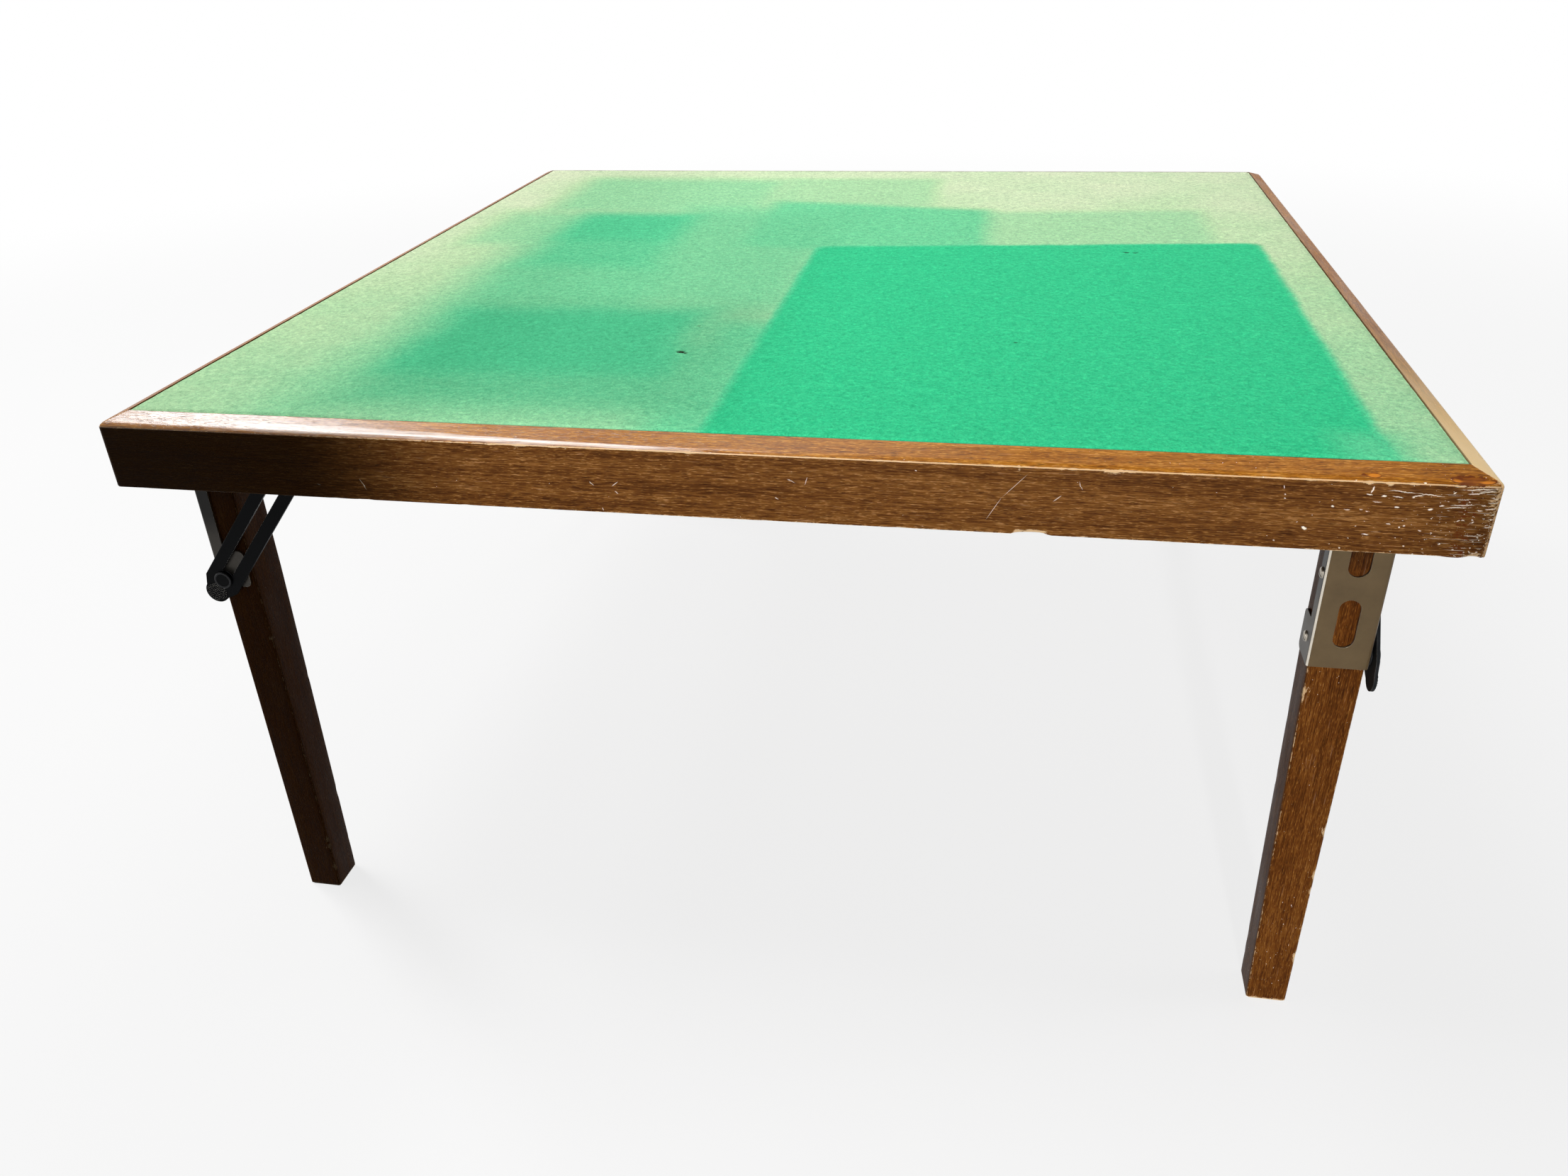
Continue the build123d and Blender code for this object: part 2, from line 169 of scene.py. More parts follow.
def mix(share, first, second, way="MIX"):
    """First colour at share 0, second colour at share 1."""
    made = add_node("Mix", {0: share, 6: first, 7: second}, data_type="RGBA", blend_type=way)
    return made.outputs[2]


def ramp(value, stops):
    """Colour ramp from (place, colour) pairs, with colours as linear red, green, blue."""
    made = add_node("ValToRGB", {0: value})
    elements = made.color_ramp.elements
    while len(elements) < len(stops):
        elements.new(0.5)
    for element, (place, colour) in zip(elements, stops):
        element.position = place
        element.color = (*colour, 1)
    return made.outputs[0]


def stretch(value, low, high, new_low=0.0, new_high=1.0, smooth=False):
    """Map a number from one range to another, held at the ends."""
    numbers = dict(enumerate((value, low, high, new_low, new_high)))
    way = "SMOOTHSTEP" if smooth else "LINEAR"
    return add_node("MapRange", numbers, interpolation_type=way).outputs[0]


def place_in_table():
    """Where a point is on the table at rest, in metres. It rides along in a pose."""
    return add_node("TexCoord").outputs["Object"]


def new_finish(name):
    """New material, its Principled shader, and the place of each point."""
    finish = bpy.data.materials.new(name)
    begin_tree(finish)
    shader = add_node("BsdfPrincipled")
    add_node("OutputMaterial", {"Surface": shader.outputs[0]})
    return finish, shader, place_in_table()


def cloudy(where, size, detail=3.0, roughness=0.55, distortion=0.0):
    """Noise of this size in metres, a number or one for each axis."""
    sizes = size if isinstance(size, tuple) else (size, size, size)
    scale = tuple(1 / part for part in sizes)
    moved = add_node("Mapping", {"Vector": where, "Scale": scale})
    settings = {"Scale": 1.0, "Detail": detail, "Roughness": roughness, "Distortion": distortion}
    return add_node("TexNoise", {"Vector": moved.outputs[0], **settings}).outputs[0]


def full_range(value, new_low=0.0, new_high=1.0):
    """Stretch noise, which lies mostly between 0.3 and 0.7, over a whole range."""
    return stretch(value, 0.3, 0.7, new_low, new_high)


def dress(shader, colour, roughness, shine, strength, depth, height):
    """Colour, roughness and shine for a shader, and a bump of this depth in metres."""
    bump = add_node("Bump", {"Strength": strength, "Distance": depth, "Height": height})
    plug(shader.inputs["Base Color"], colour)
    plug(shader.inputs["Roughness"], roughness)
    plug(shader.inputs["Specular IOR Level"], shine)
    plug(shader.inputs["Normal"], bump.outputs[0])


print("helpers ready")

# %% [markdown]
# ## Floor and white background
# The table stands on a plain pale floor that runs on into white. Light Path tells what
# kind of ray has arrived. For rays from the camera and for mirror rays, the floor mixes
# in plain white, more of it further out, so it meets the background, and a soft shadow
# still shows near the legs. For the rays that carry soft light it is a greyer floor, so
# that it throws little light up at the frame.

# %% Floor and background
def seen_directly():
    """1 for camera, mirror and glass rays, else 0."""
    ray = add_node("LightPath").outputs
    first = math_of("MAXIMUM", ray["Is Camera Ray"], ray["Is Glossy Ray"])
    return math_of("MAXIMUM", first, ray["Is Transmission Ray"])


floor_half = 14.0
floor_mesh = bpy.data.meshes.new("floor")
floor_corners = [(-1, -1), (1, -1), (1, 1), (-1, 1)]
floor_mesh.from_pydata(
    [(floor_half * x, floor_half * y, 0.0) for x, y in floor_corners], [], [(0, 1, 2, 3)]
)
floor = new_object("floor", floor_mesh)
floor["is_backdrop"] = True

floor_finish = bpy.data.materials.new("pale_floor")
begin_tree(floor_finish)
far_out = add_node("VectorMath", {0: place_in_table()}, operation="LENGTH").outputs[1]
white_share = stretch(far_out, 0.9, 3.0, 0.80, 1.0, smooth=True)
pale_paint = add_node("BsdfDiffuse", {"Color": (0.90, 0.90, 0.90, 1)})
glow = add_node("Emission", {"Color": (1, 1, 1, 1), "Strength": 1.0})
seen_floor = add_node("MixShader", {0: white_share, 1: pale_paint.outputs[0], 2: glow.outputs[0]})
grey_paint = add_node("BsdfDiffuse", {"Color": (0.055, 0.055, 0.055, 1)})
layers = {0: seen_directly(), 1: grey_paint.outputs[0], 2: seen_floor.outputs[0]}
add_node("OutputMaterial", {"Surface": add_node("MixShader", layers).outputs[0]})
floor_mesh.materials.append(floor_finish)

room = bpy.data.worlds.new("white_room")
bpy.context.scene.world = room
begin_tree(room)
soft_level = 0.030
level = stretch(seen_directly(), 0.0, 1.0, soft_level, 1.0)
sky = add_node("Background", {"Color": (1, 1, 1, 1), "Strength": level})
add_node("OutputWorld", {"Surface": sky.outputs[0]})
print("floor", 2 * floor_half, "m wide, soft light at", soft_level)

# %% [markdown]
# ## Lamps
# A tall window high up on the left, towards the back, lights the felt and shows as a pale
# streak on the rounded border of the front rail. The front face looks away from it. Its
# light is a low beam from in front, as from a doorway, which covers the table from left
# of its middle to its right end and leaves the left end in the dark. A low lamp on the
# left reaches under the top and brings out the legs. A soft lamp overhead and weaker ones
# on the right and behind fill in what the camera doesn't see.

# %% Lamps
def soft_lamp(name, place, target, size, power, spread=180.0, along=(0.0, 1.0, 0.3)):
    """Rectangular lamp that faces the target, with its second side along a direction."""
    data = bpy.data.lights.new(name, "AREA")
    data.shape = "RECTANGLE"
    data.size, data.size_y = size
    data.energy = power
    data.spread = math.radians(spread)
    backward = (Vector(place) - Vector(target)).normalized()
    across = Vector(along).cross(backward).normalized()
    upward = backward.cross(across)
    lamp = new_object(name, data)
    lamp.matrix_world = (
        Matrix.Translation(place) @ Matrix((across, upward, backward)).transposed().to_4x4()
    )
    lamp.visible_camera = False
    return lamp


window_place, window_slant = (-1.31, 0.05, 2.55), (-1.31, 1.38, -0.78)
lamps = [
    soft_lamp("window_lamp", window_place, (-0.2, -0.39, 0.4), (0.44, 2.3), 54, along=window_slant),
    soft_lamp("front_lamp", (0.10, -2.9, 0.66), (0.10, -0.39, 0.30), (0.60, 0.7), 1.25, spread=3.6),
    soft_lamp("top_lamp", (0.25, 0.6, 2.4), (0.1, 0.2, 0.4), (1.5, 1.5), 8.5),
    soft_lamp("right_lamp", (2.3, 0.1, 1.55), (0.39, 0.0, 0.38), (0.8, 0.8), 9),
    soft_lamp("back_lamp", (0.1, 2.4, 1.6), (0.0, 0.39, 0.38), (0.8, 0.8), 8),
    soft_lamp("left_lamp", (-2.4, -0.05, 0.36), (0.36, -0.36, 0.24), (0.6, 0.4), 4),
]
print("lamps", ", ".join(f"{lamp.name} {lamp.data.energy:g} W" for lamp in lamps))

# %% [markdown]
# ## Stained wood under old varnish
# The rails and legs are a reddish brown hardwood with a fine straight grain, small dark
# pores and a mottled figure. Noise that is stretched along the grain makes all of them:
# long and thin for the streaks, shorter and thinner for the pores. The noise is read in
# table coordinates, so each rail needs to know only which way its grain runs. Numbers
# stored on the vertices say where the varnish is worn to bare wood, where a splinter has
# left fresh red wood, how much the surface is scuffed, where a cream painted sheen lies,
# where dirt and painted shade darken the wood, and where a pale painted highlight lies on
# the front border. The white flecks of scuffing are partly painted glints.

# %% Wood finish
# from the darkest grain to the palest
rail_tones = (0.05, 0.016, 0.004), (0.14, 0.051, 0.011), (0.23, 0.094, 0.022), (0.4, 0.2, 0.066)
# the border's tones are paler than the face's, partly painted light for the upward-facing border
border_tones = (0.135, 0.036, 0.003), (0.3, 0.101, 0.008), (0.45, 0.174, 0.018), (0.66, 0.31, 0.052)
leg_tones = (0.04, 0.011, 0.002), (0.112, 0.034, 0.005), (0.185, 0.064, 0.011), (0.3, 0.125, 0.03)
tone_places = (0.18, 0.42, 0.60, 0.84)
pore_brown = (0.030, 0.011, 0.004, 1)
bare_wood = (0.820, 0.560, 0.300, 1)
nick_and_glint_white = (1.000, 0.890, 0.720, 1)
dark_splinter = (0.130, 0.030, 0.006, 1)
fresh_splinter = (0.600, 0.205, 0.020, 1)
# cream of a painted sheen at the front end of the right rail
sheen_cream = (0.980, 0.700, 0.330, 1)
# near black for dirt and for painted shade
painted_shade_and_soil = (0.012, 0.006, 0.003, 1)
# pale pink of a painted highlight on the front border
highlight_pink = (0.880, 0.760, 0.690, 1)


def grain(where, axis, length, across, **more):
    """Noise that is drawn out to this length on the grain's axis, 0 to 2 for x, y and z."""
    size = tuple(length if number == axis else across for number in range(3))
    return cloudy(where, size, **more)


def stored(name):
    """The number that the mesh holds under this name at each point."""
    return add_node("Attribute", attribute_name=name).outputs["Fac"]


def wood_parts(where, axis):
    """Tone of the wood from 0 to 1, its pores and its streaks."""
    bands = grain(where, axis, 0.25, 0.012, detail=2.0)
    streaks = grain(where, axis, 0.024, 0.0011, detail=3.0, distortion=0.1)
    hairs = grain(where, axis, 0.0085, 0.00043, detail=2.0)
    mottle = grain(where, axis, 0.0055, 0.0024, detail=3.0, distortion=0.3)
    tone = times(full_range(bands), 0.24)
    for part, weight in ((streaks, 0.23), (hairs, 0.39), (mottle, 0.05)):
        share = times(full_range(part), weight)
        tone = plus(tone, share)
    glints = grain(where, axis, 0.0036, 0.00044, detail=1.0)
    tone = times_plus(stretch(glints, 0.58, 0.70), 0.30, tone)
    pores = grain(where, axis, 0.0046, 0.00040, detail=1.0)
    return tone, stretch(pores, 0.58, 0.68), streaks


def scratch(where, x, z, end_x, end_z, width, strength):
    """A number above 0 in a thin ellipse between two points in millimetres, seen square on."""
    run_x, run_z = end_x - x, end_z - z
    half_length = (math.hypot(run_x, run_z) / 2 + 0.3 * width) * mm
    half_width = 0.7 * width * mm
    slant = math.atan2(run_z, run_x)
    along = (math.cos(slant) / half_length, 0, math.sin(slant) / half_length)
    across = (-math.sin(slant) / half_width, 0, math.cos(slant) / half_width)
    middle = ((x + end_x) / 2 * mm, 0, (z + end_z) / 2 * mm)
    off = add_node("VectorMath", {0: where, 1: middle}, operation="SUBTRACT").outputs[0]
    squares = 0.0
    for direction in (along, across):
        part = add_node("VectorMath", {0: off, 1: direction}, operation="DOT_PRODUCT")
        squares = times_plus(part.outputs[1], part.outputs[1], squares)
    return stretch(squares, 0.25, 1.0, strength, 0.0)


def wood_finish(name, axis, tones=rail_tones, scratches=(), gloss=0.40, shine=0.03):
    finish, shader, where = new_finish(name)
    tone, pores, streaks = wood_parts(where, axis)
    colour = ramp(tone, list(zip(tone_places, tones)))
    colour = mix(times(pores, 0.60), colour, pore_brown)
    # painted sheen: cream where the right rail's border starts at the front
    colour = mix(stored("painted_sheen"), colour, sheen_cream)

    # painted highlight on the round-over of the front border, broken up by the streaks
    painted_highlight = times_plus(full_range(streaks), 0.7, stored("painted_highlight"))
    painted_highlight = stretch(painted_highlight, 0.65, 1.45, 0.0, 0.74)
    colour = mix(painted_highlight, colour, highlight_pink)

    ragged = grain(where, axis, 0.004, 0.0012, detail=4.0, roughness=0.7)
    ragged = full_range(ragged, -0.42, 0.42)
    bare = stretch(plus(stored("bare"), ragged), 0.46, 0.62)
    fresh = stretch(plus(stored("fresh"), times(ragged, 1.1)), 0.46, 0.56)

    # white flecks and hairlines of scuffing; the flecks are partly painted glints
    wear_and_glints = stored("wear_and_glints")
    flecks = grain(where, axis, 0.0022, 0.0011, detail=2.0, roughness=0.6)
    limit = stretch(wear_and_glints, 0.0, 1.0, 0.80, 0.655)
    flecks = stretch(math_of("SUBTRACT", flecks, limit), 0.0, 0.02)
    hairlines = grain(where, axis, 0.022, 0.00036, detail=1.0)
    limit = stretch(wear_and_glints, 0.35, 1.0, 0.84, 0.66)
    hairlines = stretch(math_of("SUBTRACT", hairlines, limit), 0.0, 0.03)
    marks = math_of("MAXIMUM", flecks, times(hairlines, 0.8))
    if scratches:
        shiver = cloudy(where, 0.0022, detail=2.0)
        shiver = full_range(shiver, -0.0003, 0.0003)
        shaken = add_node("VectorMath", {0: where, 1: shiver}, operation="ADD").outputs[0]
        for line in scratches:
            marks = math_of("MAXIMUM", marks, scratch(shaken, *line))
    marks = times(marks, stored("varnished"))

    pale = math_of("MAXIMUM", bare, marks)
    colour = mix(bare, colour, mix(0.15, bare_wood, colour))
    colour = mix(marks, colour, nick_and_glint_white)
    torn = grain(where, axis, 0.008, 0.0009, detail=2.0)
    torn = stretch(plus(torn, stored("fresh")), 1.15, 1.95)
    colour = mix(fresh, colour, mix(torn, dark_splinter, fresh_splinter))
    # darker where dirt lies and where painted shade is put
    colour = mix(stored("painted_shade_and_soil"), colour, painted_shade_and_soil)

    dull = grain(where, axis, 0.05, 0.012, detail=3.0)
    rough = full_range(dull, gloss - 0.05, gloss + 0.10)
    rough = times_plus(pale, 0.35, rough)
    rough = times_plus(fresh, 0.25, rough)
    if shine > 0.1:
        across = add_node("SeparateXYZ", {0: where}).outputs[0]
        shine = stretch(across, 0.0, 0.16, shine, 0.10)
    height = times_plus(pores, -0.5, streaks)
    height = times_plus(pale, -0.6, height)
    dress(shader, colour, rough, shine, 0.35, 0.0002, height)
    return finish


print("wood from", rail_tones[0], "to", rail_tones[-1])

# %% [markdown]
# ## Marks on the front rail
# The front rail has a life of knocks on it: a long thin curved scratch, short white
# nicks, and a worn right end. They are listed as short lines in millimetres
# across and up, with a width and a strength. Each is drawn as a thin ellipse, whose
# outline is shaken a little by noise.

# %% Front rail marks
# across and up at one end and at the other, width, strength
front_scratches = [
    (140.5, 365, 149, 380, 0.2, 0.75), (148.5, 379, 162, 394, 0.2, 0.75),
    (-228, 371.8, -224.3, 364.2, 0.37, 0.8), (-256.5, 366.6, -253.8, 366.2, 0.51, 0.7),
    (-84, 377, -81.5, 374.5, 0.54, 0.6), (-71, 374.5, -67, 377.6, 0.41, 0.7),
    (-69.5, 371.5, -67.5, 370, 0.54, 0.6), (-78.2, 360.6, -77.4, 358.9, 0.54, 0.7),
    (31, 384.2, 36, 382, 0.34, 0.6), (41, 381, 42.6, 386, 0.34, 0.6),
    (24, 372.6, 26, 371.6, 0.54, 0.7), (101.6, 392.8, 102.6, 392.6, 0.61, 0.8),
    (175.5, 378, 180, 382, 0.41, 0.6), (188.5, 391, 190.5, 385.5, 0.34, 0.6),
    (291.1, 394, 291, 391.8, 0.5, 0.8), (291.8, 388.9, 292.5, 388.6, 0.6, 0.8),
    (292.1, 386.7, 292.8, 386.4, 0.6, 0.8), (290.1, 362.1, 290.9, 361.7, 0.6, 0.7),
    (303.2, 370.9, 305.4, 369.2, 0.9, 1), (315.7, 383.6, 316.5, 382.8, 0.9, 1),
    (321.3, 381.7, 325, 381.7, 0.5, 0.5), (329, 382.3, 331, 382.3, 0.5, 0.5),
    (322.9, 359.6, 323.7, 359.2, 0.7, 0.8), (332.6, 368.2, 336.4, 368, 0.55, 0.9),
    (333.8, 395.2, 333.1, 391.5, 0.7, 1), (331, 391, 334, 390.4, 0.55, 0.9),
    (334.4, 386.9, 339.4, 386.9, 0.3, 0.8), (338.5, 390.1, 340.6, 390.1, 0.8, 1),
    (345.6, 384.4, 347.8, 384.2, 0.75, 1), (340.6, 393.4, 355, 392.4, 0.41, 0.9),
    (354, 392.5, 368.1, 391.2, 0.41, 0.9), (343, 390, 349, 389.7, 0.45, 0.8),
    (352.8, 390.6, 358.1, 391.4, 0.54, 0.9), (353.1, 390.3, 353.9, 390.1, 0.7, 1),
    (343, 374.6, 345.8, 374.6, 0.5, 0.8), (349.4, 373, 350.2, 372.8, 0.6, 0.8),
    (351.9, 374.3, 352.7, 374.1, 0.6, 0.8), (353.8, 362.6, 354.6, 362.4, 0.7, 0.9),
    (358.9, 358, 359.7, 357.6, 0.8, 0.9), (359.3, 372, 360.8, 371.5, 0.54, 0.8),
    (361.6, 383.9, 363.6, 383.9, 0.65, 1), (365.4, 370.9, 366.2, 370.7, 0.6, 0.8),
    (366.5, 386.1, 368.8, 386.3, 0.61, 0.9), (367.8, 384.9, 382.2, 385.9, 0.47, 0.8),
    (371, 386.5, 383.4, 387.4, 0.47, 0.8), (371.6, 393, 372.7, 394, 0.6, 1),
    (373.5, 390, 379.2, 389.7, 0.47, 0.8), (379.5, 388.9, 380.3, 388.7, 0.6, 0.9),
    (376.3, 377.9, 377.8, 378.7, 0.5, 0.9), (377.6, 378.6, 379.9, 378.6, 0.5, 0.9),
    (378, 393.2, 386, 394, 0.61, 0.9), (375, 395.3, 392, 396.6, 0.54, 0.9),
    (383, 394.3, 391, 395.4, 0.61, 0.9), (382.8, 377.4, 384.6, 378.2, 0.6, 0.9),
    (383, 379.3, 383.8, 379.1, 0.6, 0.9), (384, 384.5, 387.3, 384.5, 0.5, 0.9),
    (385.5, 387.3, 388.3, 387.3, 0.54, 0.9), (388, 385.6, 393.5, 385.6, 0.6, 1),
    (391.5, 382.3, 393.5, 382.3, 0.6, 1), (379.5, 370, 391, 370.6, 0.41, 0.7),
    (387.4, 369.4, 388.6, 369.4, 0.6, 0.8), (377.3, 361.7, 378.1, 361.5, 0.6, 0.8),
    (382.8, 360.7, 383.6, 360.5, 0.6, 0.8), (387.4, 360.4, 388.2, 360.2, 0.6, 0.8),
    (389, 361.1, 389.8, 360.9, 0.6, 0.8), (389, 391.4, 394, 391.2, 0.47, 0.9),
    (388.5, 389, 394.2, 388.9, 0.47, 0.9), (390.5, 379.6, 394.2, 379.5, 0.47, 0.9),
    (389.5, 375.4, 394, 375.6, 0.47, 0.8),
]
print(len(front_scratches), "marks on the front rail")

# %% [markdown]
# ## The shape of a rail
# A rail has an upright outer face, a border that rolls over from it and then climbs
# evenly to the felt, a rebate with a ledge for the board, and a plain inner face. The
# outline is drawn once as points of depth and height. They are close together where the
# rail is rounded or likely to be chipped. The outline is then carried along the rail, and
# each point stops at its own depth from the corner, which cuts the mitre.

# %% Rail outline
def curve_between(start, corner, end, count):
    """Points on a soft corner, from start to end."""
    points = []
    for number in range(count):
        t = number / (count - 1)
        weights = ((1 - t) ** 2, 2 * t * (1 - t), t**2)
        rows = zip(start, corner, end)
        points.append(tuple(sum(w * part for w, part in zip(weights, row)) for row in rows))
    return points


def evenly(start, end, count):
    """Points after start and before end, on a straight line."""
    return [
        tuple(a + (b - a) * number / (count + 1) for a, b in zip(start, end))
        for number in range(1, count + 1)
    ]


border_low = 397.5
round_width, round_rise = 3.0, 2.4
border_slope = (felt_height - border_low - round_rise) / (border_width - round_width)
slope_angle = math.atan(border_slope)
round_radius = (round_width**2 + round_rise**2) / (
    2 * (round_rise * math.cos(slope_angle) - round_width * math.sin(slope_angle))
)


def border_height(depth):
    """An even slope, which rolls over towards the outer edge."""
    if depth > round_width:
        return border_low + round_rise + border_slope * (depth - round_width)
    middle_depth = round_width + round_radius * math.sin(slope_angle)
    middle_height = border_low + round_rise - round_radius * math.cos(slope_angle)
    return middle_height + math.sqrt(round_radius**2 - (middle_depth - depth) ** 2)


def rail_outline():
    inner, soft = rail_thickness, 0.7
    face_low, face_high = (0.0, rail_bottom + 1.0), (0.0, border_low - 0.8)
    slope_start = (soft, border_height(soft))
    slope_end = (border_width - soft, border_height(border_width - soft))
    outline = curve_between((1.0, rail_bottom), (0.0, rail_bottom), face_low, 5)
    outline += evenly(face_low, face_high, 11)
    outline += curve_between(face_high, (0.0, border_low), slope_start, 12)
    depths = [soft + 0.3 * number for number in range(1, 9)]
    depths += [3.4 + 0.6 * number for number in range(17)]
    outline += [(depth, border_height(depth)) for depth in depths]
    edge = (border_width, felt_height)
    outline += curve_between(slope_end, edge, (border_width, felt_height - soft), 5)
    outline += [(border_width, 400.5), (border_width, ledge_height), (18.0, ledge_height)]
    inner_low = (inner, rail_bottom + 1.0)
    outline += [(inner, ledge_height)] + evenly((inner, ledge_height), inner_low, 3)
    outline += curve_between(inner_low, (inner, rail_bottom), (inner - 1, rail_bottom), 4)
    outline += evenly((inner - 1, rail_bottom), (1.0, rail_bottom), 4)
    return outline


outline = rail_outline()
print(len(outline), "points round a rail")

# %% [markdown]
# ## Wear
# Wood wears where it is touched: along the sharp upper edge of the rails, at their
# corners, and in small chips. Each chip is a short soft dent in an edge, and its place,
# length and depth come from a seeded list, so every run gives the same table. The front
# rail has its own list too, with the two red splintered places near its right end.

# %% Wear on a rail
def hill(value):
    """1 at 0, falling smoothly to 0 at 1 and beyond."""
    rest = max(0.0, 1.0 - value * value)
    return rest * rest * (3 - 2 * rest)


def bell(value):
    """1 at 0, falling off on both sides without an end."""
    return math.exp(-(value**2))


def limited(value, low=0.0):
    """The value, held between low and 1."""
    return min(1.0, max(low, value))


def noise_at(x, y, z):
    """Smooth noise from about -1 to 1."""
    return noise.noise(Vector((x, y, z)))


def edge_chips(seed, count, deepest):
    """Chips as (place along, half length, depth, upper edge or lower edge)."""
    pick = random.Random(seed)
    chips = []
    for _ in range(count):
        place, half_length = pick.uniform(-385, 385), pick.uniform(1.2, 4.5)
        chips.append((place, half_length, pick.uniform(0.2, deepest), pick.random() < 0.6))
    return chips


front_chips = [
    (167.0, 9.0, 1.6, False),
    (158.5, 3.5, 1.0, False),
    (179.6, 1.3, 0.35, True),
    (206.0, 8.0, 0.42, True),
    (214.5, 3.0, 0.25, True),
    (305.0, 1.4, 0.45, True),
    (331.0, 2.0, 0.40, True),
    (352.0, 3.0, 0.28, True),
    (378.0, 9.0, 0.30, True),
    (388.0, 5.0, 1.0, False),
]
# place along, half length, depth in from the face, half width, how deep, how fresh
front_splinters = [
    (329.6, 2.6, 3.4, 1.2, 0.55, 0.85),
    (333.6, 3.6, 3.3, 1.5, 0.40, 1.7),
    (380.0, 12.0, 3.0, 3.2, 0.95, 0.85),
    (372.8, 2.6, 2.6, 1.3, 0.20, 1.6),
    (387.0, 3.6, 2.3, 1.3, 0.20, 1.7),
]
scuffed_from, scuffed_over = 235.0, 130.0
rail_chips = [front_chips + edge_chips(5, 26, 0.42)]
rail_chips += [edge_chips(seed, 34, 0.6) for seed in (11, 12, 13)]


def rail_wear(turn, x, depth, height):
    """How far the surface is worn inwards and up, then bareness, freshness, and scuffing whose
    flecks are partly painted glints.
    """
    inward = rise = fresh = 0.0
    seed = Vector((x * 0.02, 31.0 * turn, depth * 0.1))
    waviness = 0.5 + 0.5 * noise.noise(seed + Vector((0, height * 0.05, 0)))
    if depth < border_width - 0.5:
        inward += 0.16 * waviness * min(1.0, (border_width - depth) / 6)
    upper = math.hypot(depth, height - border_low)
    lower = math.hypot(depth, height - rail_bottom)
    line_wear = 0.72 + 0.30 * noise_at(x * 0.035, turn * 9.0, 2.0)
    if turn == 0:
        line_wear += 0.34 * limited((x + 180) / 120, -1.0)
    off_arris = math.hypot(depth - 0.10, height - border_low - 0.05)
    bare = max(0.0, line_wear * math.exp(-((off_arris / 0.42) ** 4)))
    bare = max(bare, (line_wear - 0.35) * bell(lower / 0.9))
    for place, half_length, deep, is_upper in rail_chips[turn]:
        if abs(x - place) < half_length:
            far = upper if is_upper else lower
            share = hill((x - place) / half_length) * hill(far / (1.7 * deep + 0.5))
            inward += 0.6 * deep * share
            rise += deep * share * (-0.6 if is_upper else 0.75)
            bare = max(bare, 0.95 * share)
    if turn == 0:
        for place, half_length, middle, half_width, deep, pale in front_splinters:
            off = math.hypot((x - place) / half_length, (depth - middle) / half_width)
            rise -= deep * hill(off)
            fresh = max(fresh, pale * hill(off * 0.76))
    to_corner = table_half - abs(x)
    if depth < 3.0:
        bare = max(bare, 0.52 * bell(to_corner / 3.0))
        if turn == 0 and x > 0:
            high = limited((height - 372) / 18)
            bare = max(bare, (0.25 + 0.35 * high) * bell(to_corner / 9.0))
    # a base of scuffing everywhere, whose flecks are partly painted glints
    wear_and_glints = 0.32 + 0.16 * noise_at(x * 0.01, turn * 5.0, 7.0)
    if turn == 0 and depth < 0.9:
        wear_and_glints += 0.48 * limited((x - scuffed_from) / scuffed_over) ** 1.3
    wear_and_glints += 0.25 * bell(to_corner / 25)
    return inward, rise, min(bare, 1.0), fresh, min(wear_and_glints, 1.0)


print("chips on each rail:", [len(chips) for chips in rail_chips])

# %% [markdown]
# ## From points to pieces
# Rails and legs are made alike. Points go round a ring, ring follows ring, and faces join
# each ring to the next. Every point also stores a few numbers, from which the finish
# reads how the wood is worn there and where painted light lies on it. A finished piece
# stands in for its solid and rides on the same body.

# %% Mesh helpers
stored_names = ("bare", "fresh", "wear_and_glints", "varnished", "painted_sheen", "painted_shade_and_soil", "painted_highlight")


def smooth_piece(work, name):
    """Turn a bmesh into a smoothly shaded object."""
    mesh = bpy.data.meshes.new(name)
    work.to_mesh(mesh)
    work.free()
    mesh.shade_smooth()
    return new_object(name, mesh)


def finish_mesh(work, name, sharp_angle):
    """The same with outward normals, and with sharp edges kept."""
    bmesh.ops.recalc_face_normals(work, faces=work.faces)
    piece = smooth_piece(work, name)
    piece.data.set_sharp_from_angle(angle=math.radians(sharp_angle))
    return piece


def join_rings(work, rings, second_finish=()):
    """Faces from each ring of points to the next, and one across each end."""
    for first, second in zip(rings, rings[1:]):
        for number, after in enumerate([*range(1, len(first)), 0]):
            face = work.faces.new((first[number], second[number], second[after], first[after]))
            if second_finish and second_finish[number] and second_finish[after]:
                face.material_index = 1
    work.faces.new(rings[0])
    work.faces.new(rings[-1])


def stand_in(piece, node, body, slot_name, *finishes):
    """The piece replaces a solid and moves with its body. Its slot's name is not used."""
    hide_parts(node)
    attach(piece, body)
    for finish in finishes:
        piece.data.materials.append(finish)


def new_work():
    """New bmesh, with a layer for each of the stored numbers."""
    work = bmesh.new()
    return work, [work.verts.layers.float.new(name) for name in stored_names]


def worn_vert(work, layers, turn, place, values):
    """Vertex at a place in millimetres, taken round by quarter turns, with its numbers."""
    vert = work.verts.new(quarter_turns[turn] @ Vector([part * mm for part in place]))
    for layer, value in zip(layers, values):
        vert[layer] = value
    return vert


print(len(stored_names), "numbers on each point of the wood")

# %% [markdown]
# ## Building the four rails
# The stations along a rail are close together near its ends, where the corner is rounded
# off, and near the worn right end of the front rail. The last one is let in by a fifth
# of a millimetre, so the mitre shows as a fine line. Each rail takes the place of its
# solid and rides with the table top.

